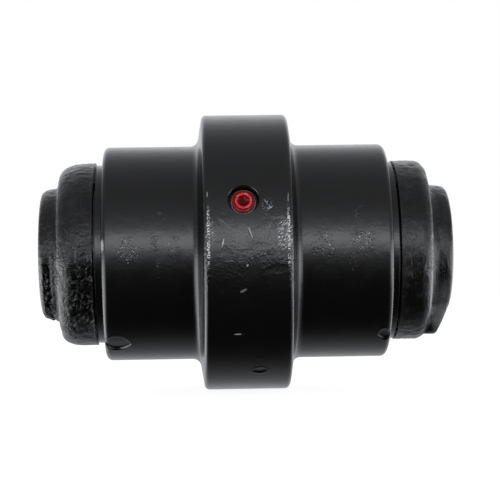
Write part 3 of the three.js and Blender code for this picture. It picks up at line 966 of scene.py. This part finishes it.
# %% A dent
class Dent:
    """A leaf-shaped hollow along a tilted line, with lengths in millimetres and angles in degrees.

    A lean makes its lower side deeper and steeper, and a rim raises a burr round it. Edge is the share
    of it that slopes, and flat is how even its floor is.
    """

    def __init__(self, along, round_at, half_long, half_wide, depth, tilt=0.0, **shape):
        self.along, self.round_at = along, round_at
        self.half_long, self.half_wide, self.depth = half_long, half_wide, depth
        self.cos, self.sin = math.cos(math.radians(tilt)), math.sin(math.radians(tilt))
        self.lean, self.rim = shape.get("lean", 0.0), shape.get("rim", 0.0)
        self.edge, self.flat = shape.get("edge", 0.35), shape.get("flat", 0.0)

    def hollow(self, x, radius, angle):
        """How deep the hollow is at a point of the surface."""
        across = x - self.along
        up = math.radians(angle - self.round_at) * radius
        u = (across * self.cos + up * self.sin) / self.half_long
        v = (up * self.cos - across * self.sin) / self.half_wide
        distance = math.hypot(v, 0.1) - 0.1 + u * u
        floor = self.flat + (1 - self.flat) * (1 - 0.8 * min(distance, 1) ** 2)
        bowl = (1 - soft_step(1 - self.edge, 1, distance)) * floor
        raised = self.rim * math.exp(-((distance - 1.12) / 0.14) ** 2)
        return self.depth * bowl * (1 - self.lean * v) - raised


print("a 1 mm dent is", round(Dent(0, 0, 2, 2, 1).hollow(0, TREAD_RADIUS, 0), 2), "mm deep in its middle")

# %% [markdown]
# ### The dents of this shell
#
# The three large ones come first, then the short cuts in the flange. The nicks along the flange's edges
# are too many to place by hand, so they are noise, held to a band in front.

# %% The shell's dents and nicks
DENTS = [
    Dent(-61.6, -54.8, 6.9, 5.6, 0.62, tilt=-9, lean=0.85, rim=0.05, edge=0.2, flat=0.9),
    Dent(64.4, -50.2, 3.6, 4.2, 1.0, tilt=12, lean=0.2, rim=0.08, edge=0.5, flat=0.3),
    Dent(5.3, -56.0, 4.0, 2.3, 0.5, tilt=9, lean=0.3, rim=0.14, edge=0.4),
    Dent(-4.6, -34.3, 3.6, 0.6, 0.22, tilt=2, rim=0.06),
    Dent(-2.6, -15.2, 2.0, 0.5, 0.2, tilt=24, rim=0.06),
    Dent(9.8, 17.2, 1.6, 0.5, 0.2, tilt=30, rim=0.06),
    Dent(13.4, -6.6, 8.5, 2.8, 0.13, tilt=7, lean=0.4, edge=0.7),
    Dent(-11.6, 3.9, 0.5, 2.3, 0.16, tilt=-14, rim=0.04),
    Dent(1.0, 7.2, 0.5, 3.2, 0.16, tilt=18, rim=0.04),
]
NICK_START = FLANGE_HALF_WIDTH - 3.4
NICK_FULL = FLANGE_HALF_WIDTH - 1.8
NICK_DEPTH = 0.35


def nick(point):
    """Small knocks along the flange's edges, where they stand out furthest towards the front."""
    x, radius, angle = polar(point)
    on_edge = soft_step(NICK_START, NICK_FULL, abs(x))
    in_front = 1 - soft_step(14, 24, abs(angle - 3))
    if on_edge * in_front * (radius > FLANGE_RADIUS - 4) == 0:
        return 0.0
    knock = noise.noise(point / (1.7 * MM)) + 0.5 * noise.noise(point / (0.7 * MM))
    return NICK_DEPTH * on_edge * in_front * max(knock - 0.12, 0)


def add_dents(shape):
    for dent in DENTS:
        span = max(dent.half_long, dent.half_wide) * 1.3 + 0.8
        radius = FLANGE_RADIUS if abs(dent.along) < FLANGE_HALF_WIDTH else TREAD_RADIUS
        refine(shape, dent.along, dent.round_at, span, math.degrees(span / radius))
    for side in (-1, 1):
        refine(shape, side * NICK_FULL, 3, 4, 24, lowest_radius=FLANGE_RADIUS - 3, cuts=2)
    for vertex in shape.verts:
        x, radius, angle = polar(vertex.co)
        if radius >= LOWEST_DENT:
            sink(vertex.co, sum(dent.hollow(x, radius, angle) for dent in DENTS) + nick(vertex.co))


edit(shell_mesh, add_dents)
print("shell with its dents:", len(shell_mesh.polygons), "faces")

# %% [markdown]
# ### The plug's pocket
#
# The plug lies in a round pocket in the flange, with a threaded hole and an oil drilling below it.
# The holes are one turned cutter along the plug's own line, taken out of the shell. Its mouth opens
# a little, so that the pocket's rim catches the light.

# %% Plug line and holes
PLUG_POCKET_RADIUS = 7
PLUG_POCKET_FLOOR = FLANGE_RADIUS - 5.4
PLUG_STEM_RADIUS = 4
PLUG_STEM_LENGTH = 9
OIL_DRILLING_RADIUS = 2.5

plug_turn = Vector((1, 0, 0)).rotation_difference(PLUG_DIRECTION).to_matrix().to_4x4()


def along_plug_line(mesh):
    """Stands a mesh that was made along the X axis on the plug's line."""
    mesh.transform(plug_turn)
    for vertex in mesh.vertices:
        vertex.co += PLUG_PLACE
    return mesh


pocket_corners = [
    (FLANGE_RADIUS + 2, 0, 0),
    (FLANGE_RADIUS + 2, PLUG_POCKET_RADIUS + 2.1, 0),
    (FLANGE_RADIUS - 0.55, PLUG_POCKET_RADIUS - 0.1, 0.5),
    (PLUG_POCKET_FLOOR, PLUG_POCKET_RADIUS - 0.1, 0.5),
    (PLUG_POCKET_FLOOR, PLUG_STEM_RADIUS + 0.15, 0.2),
    (PLUG_POCKET_FLOOR - PLUG_STEM_LENGTH - 2, PLUG_STEM_RADIUS + 0.15, 0.2),
    (PLUG_POCKET_FLOOR - PLUG_STEM_LENGTH - 3.5, OIL_DRILLING_RADIUS, 0.2),
    (OIL_CHAMBER_RADIUS - 2, OIL_DRILLING_RADIUS, 0),
    (OIL_CHAMBER_RADIUS - 2, 0, 0),
]
pocket_cutter = along_plug_line(turned("pocket", pocket_corners, 96, closed=False))
shell_mesh = cut(shell_mesh, [pocket_cutter])


def leave_bare(mesh, is_bare):
    """Gives the second finish to the faces that no paint reaches, by place and radius."""
    for face in mesh.polygons:
        x, radius, _ = polar(face.center)
        face.material_index = int(is_bare(abs(x), radius))


leave_bare(shell_mesh, lambda x, radius: radius < SEAL_BORE_RADIUS + 0.2)
install("shell", shell_mesh, [BLACK_PAINT, TURNED_STEEL], "roller")

# %% [markdown]
# ## Holes for the lock pins, and threads
#
# Two small things that several pieces share. Each collar is held on the shaft by a pin through its
# back, so the collar and the shaft get the same hole. A thread is a ripple of the radius that climbs
# one pitch for each turn. On a grid that is turned by hand it closes on itself, with no seam.

# %% Lock pin holes
PIN_PLACE = reach("right_lock_pin")[0].x + 3
PIN_RADIUS = 3
PIN_INNER = reach("right_lock_pin")[0].y
PIN_OUTER = reach("right_lock_pin")[1].y


def along_pin_line(mesh, side):
    """Stands a mesh that was made along the X axis on a lock pin's line, towards the back."""
    for vertex in mesh.vertices:
        x, y, z = vertex.co
        vertex.co = (side * PIN_PLACE * MM - y, x, z)
    return mesh


def pin_hole(side):
    corners = [
        (PIN_INNER - 0.4, 0, 0),
        (PIN_INNER - 0.4, PIN_RADIUS + 0.12, 0.2),
        (PIN_OUTER + 5, PIN_RADIUS + 0.12, 0),
        (PIN_OUTER + 5, 0, 0),
    ]
    return along_pin_line(turned("pin_hole", corners, 48, closed=False), side)


print(f"lock pins {2 * PIN_RADIUS} mm thick and {PIN_OUTER - PIN_INNER:.1f} mm long")

# %% [markdown]
# ### Threads
#
# The ripple is a function of the place along the axis plus the share of a turn, so each flank is at the
# same height again one pitch further on. It fades at both ends of the thread.

# %% Threads
def thread(outlines, first, last, radius, pitch, depth):
    """Ripples the runs of an outline at a radius between two places into a right-hand thread."""
    count = len(outlines)
    turned_by = np.arange(count)[:, None] / count
    place_at, radius_at = outlines[..., 0], outlines[..., 1]
    fade = np.clip(np.minimum(place_at - first, last - place_at) / pitch, 0, 1)
    on_wall = np.abs(radius_at - radius) < 0.01
    phase = (place_at / pitch + turned_by) % 1
    flank = np.clip(np.abs(phase - 0.5) * 2.6 - 0.15, 0, 1)
    radius_at += on_wall * fade * flank * depth


def repeated(corners, turns, longest=None, closed=True):
    """The same outline at every turn, as an array that may then be changed."""
    outline = trace(corners, longest, closed)
    return np.repeat(outline[None], turns, axis=0)


print("a repeated outline is an array", repeated([(0, 1, 0), (1, 1, 0)], 3, closed=False).shape)

# %% [markdown]
# ## The shaft
#
# A ground bar with an M16 thread tapped into each end for the frame's bolts. Its two end faces were
# painted with the rest of the roller.

# %% Shaft
SHAFT_TURNS = 96
BOLT_HOLE_RADIUS = 7
BOLT_HOLE_DEPTH = 28
BOLT_PITCH = 2
BOLT_THREAD_DEPTH = 0.9
THREAD_STEP = 0.3

shaft_half = [
    (SHAFT_END - BOLT_HOLE_DEPTH - 3, 0, 0),
    (SHAFT_END - BOLT_HOLE_DEPTH, BOLT_HOLE_RADIUS, 0.2, THREAD_STEP),
    (SHAFT_END - 1.5, BOLT_HOLE_RADIUS, 0.15),
    (SHAFT_END, BOLT_HOLE_RADIUS + 1.5, 0.2),
    (SHAFT_END, SHAFT_RADIUS - 1, 0.3),
    (SHAFT_END - 1, SHAFT_RADIUS, 0.3),
]
shaft_outlines = repeated(shaft_half + mirrored(shaft_half), SHAFT_TURNS, 4, closed=False)
hole_start, hole_end = SHAFT_END - BOLT_HOLE_DEPTH + 2, SHAFT_END + 1
thread(shaft_outlines, hole_start, hole_end, BOLT_HOLE_RADIUS, BOLT_PITCH, BOLT_THREAD_DEPTH)
thread(shaft_outlines, -hole_end, -hole_start, BOLT_HOLE_RADIUS, BOLT_PITCH, BOLT_THREAD_DEPTH)
shaft_mesh = cut(mesh_of("shaft", turn(shaft_outlines), closed=False), [pin_hole(-1), pin_hole(1)])
for face in shaft_mesh.polygons:
    x, radius, _ = polar(face.center)
    face.material_index = int(abs(x) > SHAFT_END - 0.02 and radius > BOLT_HOLE_RADIUS + 1.4)
install("shaft", shaft_mesh, [GROUND_STEEL, BLACK_PAINT], "axle")

# %% [markdown]
# ## The collars
#
# Each collar is an iron casting: a broad rim that hides the seal, a boss that meets the frame's
# plate, and on the right one a foot that stops the shaft turning. Sculpting them from a block and
# remeshing it would lose the crisp edge at the gap. So they are turned too, but with an outline of
# their own at every angle: where the foot is, the boss's wall simply stands further out.

# %% The foot
LUG_HALF_WIDTH = 18
LUG_REACH = 41.4
LUG_CORNER = 6
LUG_SLOPE = math.tan(math.radians(24))
LUG_SLOPE_START = 24.4


def foot_radius(angle):
    """How far the foot's outline is from the axis at an angle, or 0 above the axis."""
    across, down = abs(math.cos(angle)), -math.sin(angle)
    if down <= 0:
        return 0.0
    nearest = min(LUG_HALF_WIDTH / max(across, 1e-6), LUG_REACH / down)
    corner = np.array((LUG_HALF_WIDTH - LUG_CORNER, LUG_REACH - LUG_CORNER))
    ray = np.array((across, down))
    if (nearest * ray - corner).min() <= 0:
        return nearest
    middle = ray @ corner
    return middle + math.sqrt(middle**2 - corner @ corner + LUG_CORNER**2)


def soft_max(first, second, width=1.6):
    """The larger of two lengths, with a smooth change from one to the other."""
    return (first + second + math.hypot(first - second, width) - width) / 2


print(f"the foot reaches {foot_radius(-math.pi / 2):.1f} mm below the axis")

# %% [markdown]
# ### The collar's outline
#
# The outline is made of its corners first: the rim, its rounded corner, the fillet at the boss's root,
# the wall and the end face. Then it is averaged along its own length, which rounds every corner the way
# that a sand mould does. The boss's end is rounded more than the rest.

# %% Collar outline
ROOT_FILLET = {-1: (1.6, 1.4), 1: (5.6, 3.0)}
SOFTENING = 0.7
BOSS_SOFTENING = 2.2
BOSS_BLEND = (91.5, 94.5)
FINE_STEP = 0.2
SKIN_POINTS = 120
COLLAR_TURNS = 400


def resample(points, count):
    """Points at equal steps along a run of points."""
    lengths = np.concatenate([[0], np.cumsum(np.linalg.norm(np.diff(points, axis=0), axis=1))])
    places = np.linspace(0, lengths[-1], count)
    return np.stack([np.interp(places, lengths, points[:, axis]) for axis in (0, 1)], axis=1)


def softened(points, reach_mm):
    """Rounds every corner of a run of points by averaging, and leaves its two ends alone."""
    fine = resample(points, int(np.linalg.norm(np.diff(points, axis=0), axis=1).sum() / FINE_STEP))
    half = int(3 * reach_mm / FINE_STEP)
    offsets = np.arange(-half, half + 1)
    weights = np.exp(-((offsets * FINE_STEP / reach_mm) ** 2) / 2)
    weights /= weights.sum()
    before = 2 * fine[0] - fine[half:0:-1]
    after = 2 * fine[-1] - fine[-2 : -half - 2 : -1]
    padded = np.concatenate([before, fine, after])
    return np.stack([np.convolve(padded[:, axis], weights, "valid") for axis in (0, 1)], axis=1)


def collar_skin(side, angle):
    """The cast outside of a collar at one angle: rim, shoulder, boss and end face."""
    rim, shoulder = COLLAR_RADIUS[side], SHOULDER[side]
    corner_long, corner_high, longer = SHOULDER_CORNER[side]
    corner_long += longer * math.sin(angle)
    foot = foot_radius(angle) if side > 0 else 0.0
    wall_root = soft_max(BOSS_ROOT_RADIUS[side], foot)
    wall_end = soft_max(BOSS_END_RADIUS[side], foot)
    down = max(-math.sin(angle), 0) if side > 0 else 0.0
    wall_length = END_FACE - max(wall_end * down - LUG_SLOPE_START, 0) * LUG_SLOPE
    # The rim's corner stops where the boss's wall comes out of it.
    last = math.asin(min(max(wall_root - (rim - corner_high), 0) / corner_high, 1))
    points = [(COLLAR_INNER, rim)]
    for sweep in np.linspace(math.pi / 2, last, 12):
        drop = corner_high * (1 - math.sin(sweep))
        points.append((shoulder - corner_long * (1 - math.cos(sweep)), rim - drop))
    leaves = points[-1][0]
    fillet_long, fillet_high = ROOT_FILLET[side]
    share = min(max(rim - corner_high - wall_root, 0) / fillet_high, 1)
    for sweep in np.linspace(0, math.pi / 2, 8):
        rise = share * fillet_high * (1 - math.sin(sweep))
        points.append((leaves + share * fillet_long * (1 - math.cos(sweep)), wall_root + rise))
    points.append((wall_length, wall_end))
    if wall_length < END_FACE:
        points.append((END_FACE, LUG_SLOPE_START / down))
    points.append((END_FACE, COLLAR_BORE_RADIUS))
    crisp = softened(np.array(points), SOFTENING)
    rounded_off = softened(np.array(points), BOSS_SOFTENING)
    share = np.array([soft_step(*BOSS_BLEND, x) for x in crisp[:, 0]])[:, None]
    return crisp * (1 - share) + rounded_off * share


print("points of a collar's outside before it is resampled:", len(collar_skin(-1, 0)))

# %% [markdown]
# ### The cast skin
#
# The left collar is much rougher than the right one: torn sand left ragged hollows low on its rim
# and round its boss, and broad lumps everywhere. The right one only has faint lumps drawn out round
# it, some waves, a pit on its shoulder and a crescent-shaped scar. The height of the skin is a sum of
# noises at each point, and it pushes the outline outwards or inwards along its own normal before the
# outline becomes a mesh. The end face stays flat.

# %% Cast skin
def left_skin(point, x, angle):
    """The left collar's relief in millimetres at a point in millimetres."""
    low_front = soft_step(10, -12, angle)
    on_rim = soft_step(84.5, 80.5, x) * soft_step(-62, -44, angle)
    on_boss = soft_step(91.4, 92.6, x) * soft_step(96.6, 95.2, x) * soft_step(-128, -80, angle)
    torn = low_front * max(on_rim, on_boss)
    calm = 1 - 0.7 * soft_step(4, 16, angle) * soft_step(62, 46, angle)
    lumps = 0.26 * noise.noise(point / 6.2) + 0.2 * noise.noise(point / 2.7)
    waves = 0.16 * noise.noise(Vector((point.x / 5, point.y / 2, point.z / 2)) + Vector((7, 0, 0)))
    cracks = max(0.0, 1 - 3.4 * abs(noise.noise(point / 3.0 + Vector((0, 3, 5)))))
    blobs = 0.55 * noise.noise(point / 1.7 + Vector((9, 1, 0)))
    return (lumps + waves) * calm - 0.2 + torn * (blobs - 0.8 * cracks - 0.2)


def right_skin(point, x, angle):
    """The right collar's relief in millimetres."""
    radius = math.hypot(point.y, point.z)
    drawn = Vector((point.x / 2.6, math.radians(angle) * radius / 11, 4.0))
    lumps = 0.13 * noise.noise(point / 5.5) + 0.05 * noise.noise(point / 2.2)
    pit = soft_step(2.9, 0.8, math.hypot(x - 84.8, 0.7 * math.radians(angle + 12) * radius))
    ring = math.hypot((x - 75.6) / 1.9, math.radians(angle + 17.5) * radius / 3.2)
    scar = math.exp(-(((ring - 1) / 0.32) ** 2)) * soft_step(-0.9, 0.6, angle + 17.5)
    far_round = soft_step(46, 60, abs(angle))
    waves = 0.2 * noise.noise(Vector((point.x / 3.4, point.y / 2.2, point.z / 2.2)))
    relief = lumps + 0.14 * noise.noise(drawn) + waves * far_round
    return relief - pit * (0.35 + 0.5 * noise.noise(point / 0.9)) - 0.22 * scar


CAST_RELIEF = {-1: left_skin, 1: right_skin}


def roughen(outlines, side):
    """Gives the skin its relief. It fades out at the gap's edge and at the end face."""
    points = turn(outlines)
    ahead = np.gradient(outlines, axis=1)
    normals = np.stack([-ahead[..., 1], ahead[..., 0]], axis=-1)
    normals /= np.linalg.norm(normals, axis=-1, keepdims=True) + 1e-12
    for step, row in enumerate(points):
        angle = (360 * step / len(points) + 180) % 360 - 180
        for index, point in enumerate(row):
            x = outlines[step, index, 0]
            free = soft_step(COLLAR_INNER - 0.6, COLLAR_INNER + 1.4, x)
            free *= soft_step(END_FACE - 0.05, END_FACE - 1.4, x)
            spot = Vector((side * point[0], point[1], point[2]))
            outlines[step, index] += normals[step, index] * free * CAST_RELIEF[side](spot, x, angle)
    outlines[..., 0] = np.minimum(outlines[..., 0], END_FACE)
    return outlines


print("left skin on the rim in front:", round(left_skin(Vector((-80, -44, 0)), 80, 0), 3), "mm")

# %% [markdown]
# ### The two collars
#
# The inside is machined: the bore with its groove for a rubber ring, and the pocket for the seal. So it
# is a plain outline, joined to the rough outside at every angle.

# %% Collar meshes
ORING_PLACE = (reach("right_shaft_o_ring")[0].x + reach("right_shaft_o_ring")[1].x) / 2
ORING_GROOVE_HALF = 2
ORING_GROOVE_RADIUS = 21.6

machined = [
    (END_FACE, COLLAR_BORE_RADIUS, 0),
    (ORING_PLACE + ORING_GROOVE_HALF, COLLAR_BORE_RADIUS, 0.2),
    (ORING_PLACE + ORING_GROOVE_HALF, ORING_GROOVE_RADIUS, 0.3),
    (ORING_PLACE - ORING_GROOVE_HALF, ORING_GROOVE_RADIUS, 0.3),
    (ORING_PLACE - ORING_GROOVE_HALF, COLLAR_BORE_RADIUS, 0.2),
    (NOSE_END, COLLAR_BORE_RADIUS, 0.3),
    (NOSE_END, NOSE_RADIUS, 0.4),
    (COLLAR_POCKET_FLOOR, NOSE_RADIUS, 0.5),
    (COLLAR_POCKET_FLOOR, SEAL_BORE_RADIUS, 0.5),
    (COLLAR_INNER, SEAL_BORE_RADIUS, 0.3),
]


def collar_is_bare(x, radius):
    in_bore = radius < COLLAR_BORE_RADIUS + 2.6 and x < END_FACE - 0.3
    in_pocket = radius < SEAL_BORE_RADIUS + 0.2 and x < COLLAR_POCKET_FLOOR + 0.4
    return in_bore or in_pocket


for side_name, side in SIDES.items():
    whole = [*machined, (COLLAR_INNER, COLLAR_RADIUS[side], 0)]
    inside = trace(whole, longest=3, closed=False)[1:-1]
    angles = np.arange(COLLAR_TURNS) * 2 * math.pi / COLLAR_TURNS
    outside = [resample(collar_skin(side, angle), SKIN_POINTS) for angle in angles]
    outside = roughen(np.array(outside), side)
    inside = np.broadcast_to(inside, (COLLAR_TURNS, *inside.shape))
    outlines = np.concatenate([outside, inside], axis=1) * (side, 1)
    name = side_name + "_collar"
    collar_mesh = cut(mesh_of(name, turn(outlines)), [pin_hole(side)])
    leave_bare(collar_mesh, collar_is_bare)
    install(name, collar_mesh, [ROUGH_BLACK_PAINT, TURNED_STEEL], "axle")

# %% [markdown]
# ## The oil plug and its washer
#
# The plug is a small turned screw with a hexagon socket. Its head steps up to a raised ring round the
# socket, and that ring is what shines. It is turned lying along the X axis, the socket is cut with a
# six-sided tool, and then both are stood on the plug's line.

# %% Plug
PLUG_TURNS = 96
PLUG_UNDER = PLUG_POCKET_FLOOR + 1.1
PLUG_HEAD_RADIUS = 5.2
PLUG_RING_RADIUS = 4.2
PLUG_TOP = PLUG_UNDER + 2.9
PLUG_SHOULDER = PLUG_UNDER + 1.9
SOCKET_ACROSS_FLATS = 5
SOCKET_FLOOR = PLUG_TOP - 2.2
plug_end = PLUG_UNDER - PLUG_STEM_LENGTH

plug_corners = [
    (plug_end, 0, 0),
    (plug_end, PLUG_STEM_RADIUS - 0.7, 0.2),
    (plug_end + 0.7, PLUG_STEM_RADIUS, 0.1, 0.15),
    (PLUG_UNDER, PLUG_STEM_RADIUS, 0.1),
    (PLUG_UNDER, PLUG_HEAD_RADIUS, 0.3),
    (PLUG_SHOULDER, PLUG_HEAD_RADIUS, 0.5),
    (PLUG_SHOULDER + 0.1, PLUG_RING_RADIUS + 0.1, 0.25),
    (PLUG_TOP, PLUG_RING_RADIUS - 0.3, 0.45),
    (PLUG_TOP - 0.15, 2.75, 0.15),
    (SOCKET_FLOOR + 1.5, 2.4, 0),
    (SOCKET_FLOOR + 1.5, 0, 0),
]
plug_outlines = repeated(plug_corners, PLUG_TURNS, 0.8, closed=False)
thread(plug_outlines, plug_end + 0.8, PLUG_UNDER - 1, PLUG_STEM_RADIUS, 1, -0.5)

socket_radius = SOCKET_ACROSS_FLATS / math.sqrt(3)
socket_corners = [
    (SOCKET_FLOOR - 1.9, 0, 0),
    (SOCKET_FLOOR, socket_radius, 0),
    (PLUG_TOP + 1, socket_radius, 0),
    (PLUG_TOP + 1, 0, 0),
]
plug_mesh = mesh_of("plug", turn(plug_outlines), closed=False)
socket_mesh = turned("socket", socket_corners, 6, closed=False)
plug_mesh = along_plug_line(cut(plug_mesh, [socket_mesh]))
install("oil_plug", plug_mesh, [RED], "roller")

# %% [markdown]
# ### The washer
#
# A flat aluminium ring lies between the plug's head and the floor of its pocket, and seals the oil in.

# %% Washer
WASHER_RADIUS = 6.1
washer_low, washer_high = PLUG_POCKET_FLOOR + 0.05, PLUG_POCKET_FLOOR + 1.05
washer_corners = [
    (washer_low, PLUG_STEM_RADIUS + 0.15, 0.15),
    (washer_low, WASHER_RADIUS, 0.3),
    (washer_high, WASHER_RADIUS, 0.3),
    (washer_high, PLUG_STEM_RADIUS + 0.15, 0.15),
]
washer_mesh = along_plug_line(turned("washer", washer_corners, 96))
install("plug_washer", washer_mesh, [ALUMINIUM], "roller")

# %% [markdown]
# ## Bushings and metal seal rings
#
# These are hidden, and the CAD already holds their true outline, only with flat sides. So the outline
# is read back from the CAD mesh: the points and edges that lie in the half-plane above the axis, put
# in order by walking from one to the next. It is then turned again, finely, with its edges rounded.

# %% Reading an outline back
HIDDEN_TURNS = 160


def outline_of(node):
    """The outline of a turned CAD node as places and radii, in order, in millimetres."""
    shape = bmesh.new()
    shape.from_mesh(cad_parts[node].data)
    bmesh.ops.remove_doubles(shape, verts=shape.verts, dist=1e-6)
    cut_here = {vertex for vertex in shape.verts if abs(vertex.co.y) < 1e-6 and vertex.co.z > 0}
    start = walked = min(cut_here, key=lambda vertex: (vertex.co.x, vertex.co.z))
    outline, came_from = [], None
    while not outline or walked != start:
        outline.append((walked.co.x / MM, walked.co.z / MM))
        ways = [edge.other_vert(walked) for edge in walked.link_edges]
        ways = [vertex for vertex in ways if vertex in cut_here and vertex != came_from]
        walked, came_from = ways[0], walked
    shape.free()
    return outline


def rounded(outline, rounding):
    """An outline's corners, each with the rounding that its shorter side has room for."""
    corners = []
    for index, corner in enumerate(outline):
        neighbours = (outline[index - 1], outline[(index + 1) % len(outline)])
        shorter_side = min(math.dist(corner, neighbour) for neighbour in neighbours)
        corners.append((*corner, min(rounding, 0.35 * shorter_side)))
    return corners


print("the left bushing's outline has", len(outline_of("left_bushing")), "corners")

# %% Bushings and seal rings
for side_name in SIDES:
    hidden = [
        ("bushing", BRONZE, "roller", "bronze", 0.4),
        ("turning_seal_ring", SEAL_IRON, "roller", "seal_iron", 0.25),
        ("fixed_seal_ring", SEAL_IRON, "axle", "seal_iron", 0.25),
    ]
    for kind, finish, body, slot, rounding in hidden:
        name = f"{side_name}_{kind}"
        mesh = turned(name, rounded(outline_of(name), rounding), HIDDEN_TURNS, longest=4)
        install(name, mesh, [finish], body)

# %% [markdown]
# ## Rubber rings and lock pins
#
# A toric ring is a true torus. The ring in the collar's bore is squeezed flat between the shaft and
# its groove, so its section is an oval. Their places and thicknesses come from their CAD boxes.

# %% Rubber rings
SECTION_STEPS = 28
SQUEEZE_ROOM = 0.3


def ring_mesh(name, inner_radius=None):
    """A ring of oval section that fills its CAD node's box. Without an inner radius it is round."""
    low, high = reach(name)
    half_long = (high.x - low.x) / 2
    half_high = half_long if inner_radius is None else (high.z - inner_radius) / 2
    steps = np.arange(SECTION_STEPS) * 2 * math.pi / SECTION_STEPS
    places = (low.x + high.x) / 2 + half_long * np.cos(steps)
    radii = high.z - half_high + half_high * np.sin(steps)
    outline = np.stack([places, radii], axis=1)
    return mesh_of(name, turn(np.broadcast_to(outline, (HIDDEN_TURNS, *outline.shape))))


for side_name in SIDES:
    for kind, body, inner in [
        ("turning_toric_ring", "roller", None),
        ("fixed_toric_ring", "axle", None),
        ("shaft_o_ring", "axle", SHAFT_RADIUS + SQUEEZE_ROOM),
    ]:
        name = f"{side_name}_{kind}"
        install(name, ring_mesh(name, inner), [RUBBER], body)

# %% [markdown]
# ### The lock pins
#
# Each one is a ground pin with chamfered ends, and it lies across the shaft in the back of its collar.

# %% Lock pins
PIN_CHAMFER = 0.8
pin_corners = [
    (PIN_INNER, 0, 0),
    (PIN_INNER, PIN_RADIUS - PIN_CHAMFER, 0.2),
    (PIN_INNER + PIN_CHAMFER, PIN_RADIUS, 0.2),
    (PIN_OUTER - PIN_CHAMFER, PIN_RADIUS, 0.2),
    (PIN_OUTER, PIN_RADIUS - PIN_CHAMFER, 0.2),
    (PIN_OUTER, 0, 0),
]
for side_name, side in SIDES.items():
    pin_mesh = along_pin_line(turned("pin", pin_corners, 64, longest=2, closed=False), side)
    install(side_name + "_lock_pin", pin_mesh, [GROUND_STEEL], "axle")

# %% Count the pieces
print(len(pieces), "pieces in place of", len(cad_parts), "nodes")
